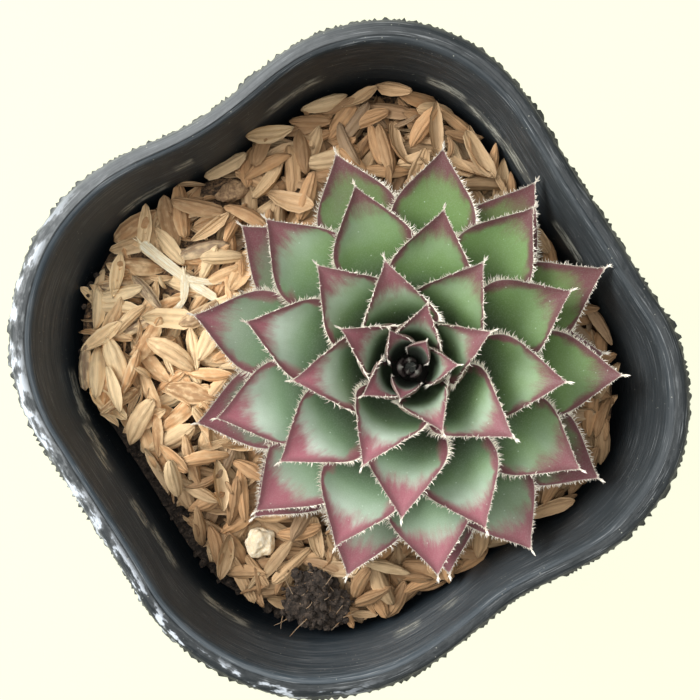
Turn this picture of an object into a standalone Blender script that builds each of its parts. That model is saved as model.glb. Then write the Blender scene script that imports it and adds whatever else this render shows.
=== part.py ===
"""A houseleek rosette in a square nursery pot, mulched with rice husks.

Metres, +Z up. The origin is the middle of the pot's underside, and the pot's sides run along X and Y.
Every shape is worked out in millimetres and scaled once, when its mesh is made.
"""

import math
import random

import bmesh
import bpy
from mathutils import Matrix, Vector, noise
from mathutils.bvhtree import BVHTree

MM = 0.001

# Pot, half widths measured from its middle line to the middle of a side
POT_HEIGHT = 80.0
LIP_HALF = 45.0
LIP_WIDTH = 3.0
LIP_THICKNESS = 1.2
SKIRT_DEPTH = 3.5
SKIRT_THICKNESS = 0.9
WALL = 1.0
FOOT_HALF = 32.5
FLOOR = 1.4
RECESS_HALF = 24.0
RECESS_HEIGHT = 2.0
CORNER_RADII = (26.0, 30.0, 31.5, 26.5)
SIDE_PINCH = (0.0, 1.7, 0.2, 1.3)
ARC_STEPS = 5
SIDE_STEPS = 6
HOLE_RADIUS = 4.0
HOLE_SPREAD = 14.0

# Filling
GAP = 0.3
SOIL_TOP = 57.5
BED_THICKNESS = 2.8
MULCH_LEVEL = POT_HEIGHT - 17.0
HUSK_LENGTH = 9.2
HUSK_WIDTH = 3.5
HUSK_THICKNESS = 1.9
HUSKS = 142
HUSK_CLEAR_RADIUS = 28.0
BED_CORNER = 27.0

# Things on the mulch: middle, radii and how knobbly
PERLITE = ((-27.5, -17.0), (2.9, 2.7, 2.2), 0.5)
PEBBLE = ((-0.5, 34.0), (2.4, 2.0, 1.6), 0.4)
CLOD = ((-24.5, -29.0), (4.6, 5.6, 2.8), 0.45)
STRAW_THICKNESS = 0.7
STRAW_STALKS = (
    (((-17.4, 34.5), (-15.7, 29.5), (-13.8, 24.5), (-12.0, 20.5)), 2.0),
    (((-14.2, 26.5), (-16.2, 23.6), (-19.0, 22.2)), 1.5),
    (((-14.0, 25.5), (-11.6, 23.4), (-9.6, 22.4)), 1.2),
)

# Rosette: its foot on the mulch, and how far its axis leans towards +Y
FOOT = (8.7, -6.6)
LEAN = math.radians(4.3)
LEAN_TOWARDS = math.radians(112)
LEAVES = 44
FIRST_TURN = math.radians(12.7)
TURN = math.radians(138.18)
TIP_RADIUS_INNER = 4.5
TIP_RADIUS_OUTER = 36.7
TIP_HEIGHT_OUTER = 7.5
TIP_HEIGHT_RISE = 17.5
LEAF_HALF_WIDTH = 6.9
LEAF_FOOT_HALF_WIDTH = 2.2
LEAF_THICKNESS = 2.1
LEAF_EDGE = 0.7
TIP_TAPER = 10.4
TIP_SHARPNESS = 1.45
TIP_BLUNT = 0.35
CUP = 1.5
SAG_FROM, SAG_TO = 6, 24
FLARE = 2.1
FLARE_FROM, FLARE_TO = 8, 24
CLASP = 0.78
STEM_FOOT_RADIUS = 6.5
STEM_ROOT = 8.0
STEM_SIDES = 20
BUD_LEAVES = 6
BUD_RADIUS = 2.1
BUD_HEIGHT = 6.5

# Leaves that stray from the spiral: how much further out their tips lie, in mm, and how much further round,
# in degrees
STRAYS = {
    0: (-0.3, 11), 1: (0, -13), 2: (0, -9), 3: (0, 10), 7: (-0.5, -6), 8: (-0.5, 3), 9: (1.5, 3), 11: (1, 0),
    12: (-1, 0), 13: (-1, 6), 14: (1.5, -4), 15: (-1.5, 0), 18: (-1, 0), 19: (0.5, -5), 20: (-1, 3),
    21: (-1, 2), 22: (1, 2), 25: (0.5, 4), 27: (0.5, 3), 28: (0.5, -2), 30: (0, 3), 31: (1.5, 0),
    33: (1.5, 1), 34: (-1, 0), 35: (-0.5, 4), 36: (1.5, -1.5), 37: (-1, -3), 39: (-0.5, 0), 40: (-2.5, 2.5),
    42: (-5, 3), 43: (-1.5, 0),
}
# Leaves whose tips are turned up, where they meet the wall, or lie lower than their neighbours, in mm
LIFTS = {32: -0.4, 34: 5.0, 37: -0.8, 39: 3.0, 40: -1.6, 42: -3.0}


def clear_scene():
    for thing in list(bpy.data.objects):
        bpy.data.objects.remove(thing, do_unlink=True)


def plain_material(name, colour, roughness, metallic=0.0):
    material = bpy.data.materials.new(name)
    material.use_nodes = True
    shader = material.node_tree.nodes["Principled BSDF"]
    shader.inputs["Base Color"].default_value = (*colour, 1.0)
    shader.inputs["Roughness"].default_value = roughness
    shader.inputs["Metallic"].default_value = metallic
    return material


def solid(name, points, faces, material, smooth_angle=None):
    """A new object from points in millimetres, its faces turned outwards."""
    mesh = bpy.data.meshes.new(name)
    mesh.from_pydata([Vector(p) * MM for p in points], [], faces)
    work = bmesh.new()
    work.from_mesh(mesh)
    bmesh.ops.recalc_face_normals(work, faces=work.faces)
    work.to_mesh(mesh)
    work.free()
    if smooth_angle is not None:
        mesh.shade_smooth()
        mesh.set_sharp_from_angle(angle=math.radians(smooth_angle))
    thing = bpy.data.objects.new(name, mesh)
    thing.data.materials.append(material)
    bpy.context.scene.collection.objects.link(thing)
    return thing


def lofted(rings, cap_first=True, cap_last=True):
    """Points and faces of a skin over rings that have the same number of points."""
    count = len(rings[0])
    points = [p for ring in rings for p in ring]
    faces = []
    for row in range(len(rings) - 1):
        for i in range(count):
            j = (i + 1) % count
            faces.append((row * count + i, row * count + j, (row + 1) * count + j, (row + 1) * count + i))
    if cap_first:
        faces.append(tuple(reversed(range(count))))
    if cap_last:
        faces.append(tuple(range((len(rings) - 1) * count, len(rings) * count)))
    return points, faces


def apply_modifier(thing, modifier):
    for other in bpy.context.selected_objects:
        other.select_set(False)
    bpy.context.view_layer.objects.active = thing
    thing.select_set(True)
    bpy.ops.object.modifier_apply(modifier=modifier.name)


def cut(thing, cutter):
    """Takes the cutter's shape out of the thing and removes the cutter."""
    cutter.display_type = "WIRE"
    cutter.hide_render = True
    modifier = thing.modifiers.new("cut", "BOOLEAN")
    modifier.operation = "DIFFERENCE"
    modifier.object = cutter
    apply_modifier(thing, modifier)
    bpy.data.objects.remove(cutter, do_unlink=True)


def join(thing, others, solver="EXACT"):
    """One Boolean union of the thing with all the others, which are then removed."""
    group = bpy.data.collections.new(thing.name + "_repeats")
    bpy.context.scene.collection.children.link(group)
    for other in others:
        bpy.context.scene.collection.objects.unlink(other)
        group.objects.link(other)
    modifier = thing.modifiers.new("join", "BOOLEAN")
    modifier.operation = "UNION"
    modifier.operand_type = "COLLECTION"
    modifier.collection = group
    modifier.solver = solver
    apply_modifier(thing, modifier)
    for other in others:
        bpy.data.objects.remove(other, do_unlink=True)
    bpy.data.collections.remove(group)


def keep_largest(thing):
    """Drops the loose scraps of a joined mesh."""
    work = bmesh.new()
    work.from_mesh(thing.data)
    left = set(work.verts)
    islands = []
    while left:
        island, edge = set(), [left.pop()]
        while edge:
            point = edge.pop()
            island.add(point)
            for link in point.link_edges:
                other = link.other_vert(point)
                if other in left:
                    left.remove(other)
                    edge.append(other)
        islands.append(island)
    islands.sort(key=len)
    for island in islands[:-1]:
        bmesh.ops.delete(work, geom=list(island), context="VERTS")
    work.to_mesh(thing.data)
    work.free()


def smoothstep(low, high, value):
    t = min(max((value - low) / (high - low), 0.0), 1.0)
    return t * t * (3 - 2 * t)


def turns(count):
    """Angles evenly spaced round a circle."""
    return [2 * math.pi * i / count for i in range(count)]


# Pot and soil


def pot_ring(half, z):
    """The pot's outline at one height: four round corners, and sides that are pinched in towards the lip."""
    scale = half / LIP_HALF
    ring = []
    for corner in range(4):
        radius = CORNER_RADII[corner] * scale
        start = corner * math.pi / 2
        centre = Matrix.Rotation(start, 2) @ Vector((half - radius, half - radius))
        for step in range(ARC_STEPS + 1):
            angle = start + step / ARC_STEPS * math.pi / 2
            ring.append((centre.x + radius * math.cos(angle), centre.y + radius * math.sin(angle), z))
        side = (corner + 1) % 4
        next_radius = CORNER_RADII[side] * scale
        turn = Matrix.Rotation(side * math.pi / 2, 2)
        pinch = SIDE_PINCH[side] * max(half - FOOT_HALF, 0) / (LIP_HALF - FOOT_HALF)
        for step in range(1, SIDE_STEPS):
            share = step / SIDE_STEPS
            along = (1 - share) * -(half - radius) + share * (half - next_radius)
            spot = turn @ Vector((half - pinch * math.sin(math.pi * share) ** 2, along))
            ring.append((spot.x, spot.y, z))
    return ring


def wall_half(z):
    """Half width of the outside of the wall."""
    top = LIP_HALF - LIP_WIDTH + WALL
    return FOOT_HALF + (top - FOOT_HALF) * z / POT_HEIGHT


def make_pot(material):
    lip_under = POT_HEIGHT - LIP_THICKNESS
    inner_top = LIP_HALF - LIP_WIDTH
    section = [
        (RECESS_HALF, RECESS_HEIGHT),
        (RECESS_HALF + 0.6, 0.0),
        (FOOT_HALF - 1.4, 0.0),
        (wall_half(1.6), 1.6),
        (wall_half(lip_under), lip_under),
        (LIP_HALF - SKIRT_THICKNESS, lip_under),
        (LIP_HALF - SKIRT_THICKNESS, POT_HEIGHT - SKIRT_DEPTH),
        (LIP_HALF, POT_HEIGHT - SKIRT_DEPTH),
        (LIP_HALF, POT_HEIGHT - 0.5),
        (LIP_HALF - 0.5, POT_HEIGHT),
        (inner_top + 0.4, POT_HEIGHT),
        (inner_top, POT_HEIGHT - 0.5),
        (wall_half(FLOOR + 1.6) - WALL, FLOOR + 1.6),
        (FOOT_HALF - 2.4, FLOOR),
        (RECESS_HALF + 0.9, FLOOR),
        (RECESS_HALF - 0.3, RECESS_HEIGHT + FLOOR),
    ]
    points, faces = lofted([pot_ring(half, z) for half, z in section])
    pot = solid("pot", points, faces, material, smooth_angle=35)
    for x, y in ((0, 0), (1, 1), (-1, 1), (-1, -1), (1, -1)):
        drill(pot, "drain_hole", (x * HOLE_SPREAD, y * HOLE_SPREAD), HOLE_RADIUS, -1.0, 6.0)
    return pot


def drill(thing, name, centre, radius, low, high, sides=16):
    """A round hole along Z."""
    x, y = centre
    circle = [(x + radius * math.cos(a), y + radius * math.sin(a)) for a in turns(sides)]
    rings = [[(*spot, z) for spot in circle] for z in (low, high)]
    cut(thing, solid(name, *lofted(rings), thing.data.materials[0]))


def inside_ring(z):
    return pot_ring(wall_half(z) - WALL - GAP, z)


def make_soil(material):
    low = RECESS_HEIGHT + FLOOR + GAP
    points, faces = lofted([inside_ring(low), inside_ring(SOIL_TOP)])
    soil = solid("soil", points, faces, material)
    drill(soil, "stem_hole", FOOT, STEM_FOOT_RADIUS + GAP, SOIL_TOP - STEM_ROOT - GAP, SOIL_TOP + 5, 20)
    return soil


# Mulch


def bed_height(x, y):
    """Top of the packed mulch under the loose husks: it is heaped by the wall at the back left."""
    away = math.hypot(x - FOOT[0], y - FOOT[1])
    back_left = smoothstep(0.2, 1.0, Vector((-0.55, 0.83)).dot(Vector((x, y)).normalized()))
    heap = 2.2 * smoothstep(26, 44, away) * back_left
    ripple = 0.5 * noise.noise(Vector((x, y, 0)) / 9)
    return SOIL_TOP + GAP + BED_THICKNESS + heap + ripple * smoothstep(20, 34, away)


def bed_recess(angle):
    """How far the mulch has shrunk from the wall: most of all along the side at -X."""
    crevice = math.cos(angle - math.radians(196))
    return 0.7 + 3.6 * smoothstep(0.55, 0.95, crevice)


def make_bed(material):
    top = SOIL_TOP + GAP + BED_THICKNESS
    outer = inside_ring(top)
    rims = []
    for x, y, _ in outer:
        reach = Vector((x, y)).length
        rims.append(Vector((x, y)) * (1 - bed_recess(math.atan2(y, x)) / reach))
    low = SOIL_TOP + GAP
    rings = [[(p.x * 0.975, p.y * 0.975, low) for p in rims]]
    for share in (1.0, 0.8, 0.6, 0.4, 0.2):
        middle = Vector(FOOT) * (1 - share)
        ring = [p * share + middle for p in rims]
        rings.append([(p.x, p.y, bed_height(p.x, p.y) - (0.8 if share == 1.0 else 0.0)) for p in ring])
    points, faces = lofted(rings)
    return solid("hull_mulch", points, faces, material)


def husk_points(length, width, thickness):
    """A boat-shaped hull with few sides: two ends and two rings of four points."""
    points = [(-length / 2, 0, -0.1 * thickness), (length / 2, 0, -0.1 * thickness)]
    for x in (-0.24, 0.22):
        for y, z in ((0.5, 0.0), (0.06, 0.5), (-0.5, 0.0), (0.0, -0.45)):
            points.append((x * length, y * width, z * thickness))
    faces = []
    for i in range(4):
        j = (i + 1) % 4
        faces += [(0, 2 + j, 2 + i), (2 + i, 2 + j, 6 + j, 6 + i), (1, 6 + i, 6 + j)]
    return points, faces


class HeightGrid:
    """How high the mulch stands so far, in cells of one millimetre."""

    def __init__(self):
        self.tops = {}

    def at(self, x, y):
        key = (round(x), round(y))
        return self.tops.get(key) or bed_height(*key)

    def raise_to(self, x, y, z):
        key = (round(x), round(y))
        self.tops[key] = max(self.at(x, y), z)


def inside_bed(x, y, margin):
    """True where a husk can lie: a margin's width inside the bed's outline."""
    spot = Vector((x, y))
    angle = math.atan2(y, x)
    turned = (angle + math.pi / 4) % (math.pi / 2) - math.pi / 4
    half = wall_half(MULCH_LEVEL) - WALL - bed_recess(angle) - margin
    corner = BED_CORNER * half / LIP_HALF
    u, v = abs(spot.length * math.cos(turned)), abs(spot.length * math.sin(turned))
    over = Vector((max(u - (half - corner), 0), max(v - (half - corner), 0)))
    return u <= half and v <= half and over.length <= corner


def husk_placings(count, rng, clear_radius):
    """Where loose husks come to lie, one after another, each on those before it: centre, axes and size."""
    grid = HeightGrid()
    placings = []
    while len(placings) < count:
        x, y = rng.uniform(-42, 42), rng.uniform(-42, 42)
        away = math.hypot(x - FOOT[0], y - FOOT[1])
        if not inside_bed(x, y, 2.4) or away < clear_radius:
            continue
        size = rng.uniform(0.82, 1.12)
        length, width = HUSK_LENGTH * size, HUSK_WIDTH * size * rng.uniform(0.85, 1.1)
        yaw = rng.uniform(0, 2 * math.pi)
        along = Vector((math.cos(yaw), math.sin(yaw)))
        ends = [Vector((x, y)) + along * length * share for share in (-0.42, 0.42)]
        if not all(inside_bed(end.x, end.y, 0.8) for end in ends):
            continue
        low, high = [grid.at(end.x, end.y) for end in ends]
        middle = grid.at(x, y)
        under = smoothstep(38, 31, away)
        slope = 0.7 * (high - low) / (0.84 * length) * (1 - under)
        z = max(middle, (low + high) / 2 - 0.3) * (1 - under) + bed_height(x, y) * under
        forward = Vector((along.x, along.y, slope)).normalized()
        roll = rng.uniform(-0.45, 0.45) * (1 - under)
        side = Matrix.Rotation(roll, 3, forward) @ Vector((-along.y, along.x, 0))
        centre = Vector((x, y, z + HUSK_THICKNESS * (0.22 - 0.1 * under)))
        placings.append((centre, forward, side, length, width))
        for share in (-0.3, -0.15, 0, 0.15, 0.3):
            for across in (-0.25, 0, 0.25):
                spot = centre + forward * length * share + side * width * across
                grid.raise_to(spot.x, spot.y, spot.z + HUSK_THICKNESS * (0.4 - abs(across)))
    return placings


def make_mulch(material):
    bed = make_bed(material)
    husks = []
    for centre, forward, side, length, width in husk_placings(HUSKS, random.Random(11), HUSK_CLEAR_RADIUS):
        points, faces = husk_points(length, width, HUSK_THICKNESS)
        up = forward.cross(side)
        placed = [centre + forward * x + side * y + up * z for x, y, z in points]
        husks.append(solid("husk", placed, faces, material))
    join(bed, husks, "MANIFOLD")
    keep_largest(bed)
    drill(bed, "stem_hole", FOOT, STEM_FOOT_RADIUS + 2 * GAP, SOIL_TOP - 5, SOIL_TOP + 12, 20)
    return bed


# Things that lie on the mulch


def mesh_tree(thing):
    return BVHTree.FromObject(thing, bpy.context.evaluated_depsgraph_get())


def settle(thing, ground):
    """Lowers the thing until it is a gap's width above the ground at its nearest spot."""
    high, far = 1000 * MM, 2000 * MM
    above, below = mesh_tree(thing), mesh_tree(ground)
    clearances = []
    for point in (v.co for v in thing.data.vertices):
        hit = below.ray_cast(Vector((point.x, point.y, high)), Vector((0, 0, -1)), far)[0]
        if hit:
            clearances.append(point.z - hit.z)
    for point in (v.co for v in ground.data.vertices):
        hit = above.ray_cast(Vector((point.x, point.y, -high)), Vector((0, 0, 1)), far)[0]
        if hit:
            clearances.append(hit.z - point.z)
    thing.data.transform(Matrix.Translation((0, 0, GAP * MM - min(clearances))))


def make_lump(name, centre, radii, roughness, seed, material, ground, detail=2):
    """A crumb or small stone: a ball with knobs, settled on the ground."""
    work = bmesh.new()
    bmesh.ops.create_icosphere(work, subdivisions=detail, radius=1)
    for vert in work.verts:
        knob = 1 + roughness * noise.noise(vert.co * 1.7 + Vector((seed, 0, 0)))
        x, y, z = (c * r * knob * MM for c, r in zip(vert.co, radii))
        vert.co = (x + centre[0] * MM, y + centre[1] * MM, z + POT_HEIGHT * MM)
    mesh = bpy.data.meshes.new(name)
    work.to_mesh(mesh)
    work.free()
    mesh.materials.append(material)
    lump = bpy.data.objects.new(name, mesh)
    bpy.context.scene.collection.objects.link(lump)
    settle(lump, ground)
    return lump


def straw_strip(route, width, material):
    """One flat stalk along a route on the level, thin at its far end."""
    rings = []
    route = [Vector(p) for p in route]
    for i, spot in enumerate(route):
        heading = (route[min(i + 1, len(route) - 1)] - route[max(i - 1, 0)]).normalized()
        side = Vector((-heading.y, heading.x)) * width / 2 * (1 - 0.35 * i / (len(route) - 1))
        low, high = POT_HEIGHT, POT_HEIGHT + STRAW_THICKNESS
        corners = ((spot + side, low), (spot - side, low), (spot - side, high), (spot + side, high))
        rings.append([(corner.x, corner.y, z) for corner, z in corners])
    return solid("straw", *lofted(rings), material)


def make_straw(material, ground):
    stalks = [straw_strip(route, width, material) for route, width in STRAW_STALKS]
    join(stalks[0], stalks[1:])
    settle(stalks[0], ground)
    return stalks[0]


# Rosette


def rosette_place():
    """From the rosette's own frame, its axis along Z and its foot at the origin, to the pot's frame."""
    tilt_axis = Vector((-math.sin(LEAN_TOWARDS), math.cos(LEAN_TOWARDS), 0))
    return Matrix.Translation((*FOOT, MULCH_LEVEL)) @ Matrix.Rotation(LEAN, 4, tilt_axis)


def leaf_foot(age):
    """Distance from the axis and height at which a leaf grows, from age 0 for the innermost to 1."""
    age = max(age, 0.0)
    return 1.3 + 5.5 * age**0.5, 12.5 - 11.0 * age**0.8


def leaf_tip(index):
    rise = math.exp(-((max(index, 0) / 27) ** 2))
    reach = math.exp(-((max(index, 0) / 17.6) ** 1.4))
    return (
        TIP_RADIUS_OUTER - (TIP_RADIUS_OUTER - TIP_RADIUS_INNER) * reach,
        TIP_HEIGHT_OUTER + TIP_HEIGHT_RISE * rise,
    )


def leaf_middle_line(index, share):
    """Distance from the axis and height along the middle of a leaf's upper side, its normal and its length.

    The share is 0 at the leaf's foot and 1 at its tip.
    """
    age = index / (LEAVES - 1)
    foot_radius, foot_height = leaf_foot(age)
    tip_radius, tip_height = leaf_tip(index)
    tip_radius += STRAYS.get(index, (0, 0))[0]
    run = Vector((tip_radius - foot_radius, tip_height - foot_height))
    across = Vector((run.y, -run.x)).normalized()
    sag, flare = leaf_bend(index)
    lift = LIFTS.get(index, 0)
    bow = sag * 4 * share * (1 - share) - flare * 6.75 * share**2 * (1 - share)
    spot = Vector((foot_radius, foot_height)) + run * share + across * bow
    spot.y += lift * share**5
    slant = sag * 4 * (1 - 2 * share) - flare * 6.75 * (2 * share - 3 * share**2)
    heading = run + across * slant + Vector((0, lift * 5 * share**4))
    up = Vector((-heading.y, heading.x)).normalized()
    return spot, up, run.length


def leaf_bend(index):
    """How far an old leaf sags, and how far a young one, which stands steep, flares out at its tip."""
    sag = (1.7 + 1.2 * index / (LEAVES - 1)) * smoothstep(SAG_FROM, SAG_TO, index)
    flare = FLARE * (1 - math.exp(-(max(index, 0) + 1) / 4)) * (1 - smoothstep(FLARE_FROM, FLARE_TO, index))
    return sag, flare


def leaf_size(index):
    """Young leaves in the middle are smaller."""
    return 1 - 0.5 * math.exp(-max(index, 0) / 5.5)


def leaf_half_width(index, share, length):
    full = LEAF_HALF_WIDTH * leaf_size(index)
    foot = LEAF_FOOT_HALF_WIDTH * (0.45 + 0.55 * leaf_size(index))
    taper = TIP_TAPER * (0.35 + 0.65 * leaf_size(index))
    from_tip = (1 - share) * length
    if from_tip < taper:
        return max(full * math.sin(math.pi / 2 * from_tip / taper) ** TIP_SHARPNESS, TIP_BLUNT)
    back = (from_tip - taper) / (length - taper)
    return full - (full - foot) * back**1.6


def leaf_point(index, share, across, depth):
    """A point of a leaf: across is -1 to 1 between its edges, depth 0 on its upper side and 1 underneath."""
    spot, up, length = leaf_middle_line(index, share)
    half = leaf_half_width(index, share, length)
    size = leaf_size(index)
    bulge = math.sin(math.pi * min(share, 0.999) ** 0.9) ** 0.8
    plump = LEAF_THICKNESS * size * (1 - 0.3 * smoothstep(24, LEAVES, index))
    thick = 0.8 + (plump - 0.8) * bulge
    thick = LEAF_EDGE + (thick - LEAF_EDGE) * (1 - across * across)
    cup = CUP * size * (1 - 0.5 * smoothstep(24, LEAVES, index)) * min(half / (0.6 * LEAF_HALF_WIDTH), 1)
    cup *= across * across * smoothstep(0.35, 0.8, share)
    lifted = spot + up * (cup - depth * thick)
    turn = FIRST_TURN - TURN * index + math.radians(STRAYS.get(index, (0, 0))[1])
    angle = turn + across * min(half / spot.x, CLASP)
    return Vector((lifted.x * math.cos(angle), lifted.x * math.sin(angle), lifted.y))


def leaf_skin(index, shares, uppers, unders):
    """Points and faces of a leaf: rings round it, from its foot to its tip."""
    rings = []
    for share in shares:
        ring = [leaf_point(index, share, across, 0.0) for across in uppers]
        ring += [leaf_point(index, share, across, 1.0) for across in reversed(unders)]
        rings.append(ring)
    return lofted(rings)


def make_leaf(index, material):
    shares = (0.0, 0.16, 0.34, 0.52, 0.68, 0.82, 0.92, 1.0)
    points, faces = leaf_skin(index, shares, (-1, -0.5, 0, 0.5, 1), (-1, 0, 1))
    place = rosette_place()
    return solid(f"leaf_{index + 1:02d}", [place @ p for p in points], faces, material, smooth_angle=50)


def make_stem(material):
    """The stem: a root that stands plumb in the soil, and above it a neck that leans with the rosette."""
    section = [(STEM_FOOT_RADIUS, -GAP)]
    for age in (1.0, 0.8, 0.6, 0.4, 0.25, 0.12, 0.04, 0.0):
        radius, height = leaf_foot(age)
        section.append((radius - GAP - 0.15, height))
    circle = [Vector((math.cos(a), math.sin(a), 0)) for a in turns(STEM_SIDES)]
    root_middle = Vector((*FOOT, SOIL_TOP - STEM_ROOT))
    rings = [[root_middle + spot * 0.92 * STEM_FOOT_RADIUS for spot in circle]]
    place = rosette_place()
    for radius, height in section:
        rings.append([place @ (spot * radius + Vector((0, 0, height))) for spot in circle])
    return solid("stem", *lofted(rings), material, smooth_angle=40)


def bud_leaf(order, material):
    """One of the closed young leaves in the middle: part of a narrow cup that leans in at its tip."""
    reach = BUD_RADIUS * (1 - 0.13 * order)
    top = BUD_HEIGHT - 0.45 * order
    turn = FIRST_TURN + TURN * (order + 1)
    base = leaf_foot(0)[1] + GAP
    place = rosette_place()
    rings = []
    outline = ((0, 0.25, 50), (0.3, 0.75, 60), (0.6, 1.0, 55), (0.85, 0.98, 28), (1, 0.85, 6))
    for share, radius, spread in outline:
        ring = []
        for depth, spots in ((0.0, (-1, -0.5, 0, 0.5, 1)), (0.6, (1, 0, -1))):
            for across in spots:
                angle = turn + across * math.radians(spread)
                distance = radius * reach - depth * min(1.0, radius)
                spot = Vector((distance * math.cos(angle), distance * math.sin(angle), base + top * share))
                ring.append(place @ spot)
        rings.append(ring)
    return solid("bud_leaf", *lofted(rings), material)


def make_heart_bud(material):
    base = leaf_foot(0)[1] + GAP
    place = rosette_place()
    rings = []
    for radius, height in ((0.9, base), (1.3, base + 2.0), (0.8, base + 4.5)):
        rings.append([place @ Vector((radius * math.cos(a), radius * math.sin(a), height)) for a in turns(8)])
    bud = solid("heart_bud", *lofted(rings), material)
    join(bud, [bud_leaf(order, material) for order in range(BUD_LEAVES)])
    return bud


def build():
    clear_scene()
    black = plain_material("pot_plastic", (0.03, 0.032, 0.035), 0.45)
    earth = plain_material("soil", (0.05, 0.035, 0.025), 0.95)
    husk = plain_material("rice_husk", (0.55, 0.36, 0.19), 0.75)
    bark = plain_material("stem_bark", (0.25, 0.16, 0.1), 0.8)
    flesh = plain_material("leaf", (0.18, 0.32, 0.17), 0.5)
    young = plain_material("young_leaf", (0.07, 0.12, 0.08), 0.5)
    stone = plain_material("perlite", (0.72, 0.66, 0.5), 0.9)
    tan = plain_material("pebble", (0.42, 0.32, 0.2), 0.85)
    straw = plain_material("straw", (0.75, 0.64, 0.4), 0.6)
    make_pot(black)
    make_soil(earth)
    mulch = make_mulch(husk)
    make_lump("perlite", *PERLITE, 3, stone, mulch)
    make_lump("pebble", *PEBBLE, 5, tan, mulch)
    make_lump("soil_clod", *CLOD, 8, earth, mulch)
    make_straw(straw, mulch)
    make_stem(bark)
    make_heart_bud(young)
    for index in range(LEAVES):
        make_leaf(index, flesh)


build()
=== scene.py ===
"""Looks of a houseleek rosette in a square nursery pot, mulched with rice husks.

Every shape is worked out in millimetres, in the frame's own axes, and scaled once, when its mesh is made.
"""

import math
import random

import bmesh
import bpy
from mathutils import Matrix, Vector, noise
from mathutils.bvhtree import BVHTree


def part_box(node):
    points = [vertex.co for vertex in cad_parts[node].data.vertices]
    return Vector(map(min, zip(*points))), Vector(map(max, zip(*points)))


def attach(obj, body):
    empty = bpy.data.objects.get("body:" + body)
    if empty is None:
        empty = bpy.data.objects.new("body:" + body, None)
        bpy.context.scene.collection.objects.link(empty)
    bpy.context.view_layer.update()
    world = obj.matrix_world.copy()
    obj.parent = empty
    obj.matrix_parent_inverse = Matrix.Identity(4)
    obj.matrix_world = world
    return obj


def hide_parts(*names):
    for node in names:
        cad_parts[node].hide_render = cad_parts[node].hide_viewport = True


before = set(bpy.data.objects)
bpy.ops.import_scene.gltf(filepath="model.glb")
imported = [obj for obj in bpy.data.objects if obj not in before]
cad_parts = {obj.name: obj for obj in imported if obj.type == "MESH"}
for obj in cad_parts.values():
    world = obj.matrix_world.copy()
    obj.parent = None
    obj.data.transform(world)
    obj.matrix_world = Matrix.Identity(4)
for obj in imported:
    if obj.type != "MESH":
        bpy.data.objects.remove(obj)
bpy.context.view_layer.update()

bl_info = {
    "name": "Potted houseleek",
    "version": (1, 0, 0),
    "blender": (4, 5, 0),
    "location": "View3D > Sidebar > Houseleek",
    "description": "Dresses the solids of a houseleek in a nursery pot",
    "category": "Add Mesh",
}

MM = 0.001
PANEL_TAB = "Houseleek"

# Values that the pieces store at their points, for their materials
HUSK_VALUES = ("tone", "rib", "along", "inside", "husk")
LEAF_VALUES = ("edge", "tip", "side", "kin", "age", "under")
STRAW_VALUES = ("across", "along")

# Pot, half widths measured from its middle line to the middle of a side
POT_HEIGHT = 80.0
LIP_HALF = 45.0
LIP_WIDTH = 3.0
LIP_THICKNESS = 1.2
SKIRT_DEPTH = 3.5
SKIRT_THICKNESS = 0.9
WALL = 1.0
FOOT_HALF = 32.5
FLOOR = 1.4
RECESS_HALF = 24.0
RECESS_HEIGHT = 2.0
CORNER_RADII = (26.0, 30.0, 31.5, 26.5)
SIDE_PINCH = (0.0, 1.7, 0.2, 1.3)
ARC_STEPS = 110
SIDE_STEPS = 90
BED_STRIDE = 5
HOLE_RADIUS = 4.0
HOLE_SPREAD = 14.0
RIM_WAVE = 0.22
LIP_ROUND = 1.3
FLASH = 0.34
# One radius for all the wall's corners, where things are kept inside it
WALL_CORNER = 28.0
QUARTER = [math.pi / 2 * step / 5 for step in range(6)]
# How far along the section, in mm, the lip's paint begins, at its outer edge, and ends, near its inner one
LIP_FROM, LIP_TO = 95.3, 98.2

# Filling
GAP = 0.3
SOIL_TOP = 57.5
BED_THICKNESS = 2.8
MULCH_LEVEL = POT_HEIGHT - 17.0
BED_ROWS = 26
HUSK_ROWS = 6
HUSK_COLUMNS = 4
CELL = 0.5
STEM_EDGE = 8.0
HUSK_SPREAD = 42
HUSK_PATTERNS = 97
HUSK_CLEAR_RADIUS = 21
CRUMBS, CREVICE_CRUMBS = 420, 300
CREVICE_DEGREES = 196

# Water stains inside the wall: where they are from above, their height and how far they reach
STAINS = (
    (37.4, 28.5, 68.4, 4.0), (40.0, 20.4, 67.2, 5.5), (40.5, 12.5, 68.5, 4.5), (40.5, -2.5, 68.4, 4.5),
    (16.0, 40.6, 69.8, 6.0), (-12.8, 40.2, 66.3, 5.5), (-4.5, 40.3, 71.5, 2.0), (-38.6, 20.5, 64.6, 3.5),
    (-39.4, 17.5, 65.2, 3.5), (-39.9, 14.5, 66.2, 3.5), (-40.2, 11.5, 67.6, 3.5), (-40.5, 8.5, 69.0, 3.5),
    (-40.3, -2.2, 68.5, 3.0), (-40.2, -9.0, 67.2, 4.5), (-38.0, -23.0, 66.0, 5.5), (-14.0, -38.5, 70.0, 3.5),
    (-6.6, -37.8, 71.0, 3.5),
)

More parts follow.
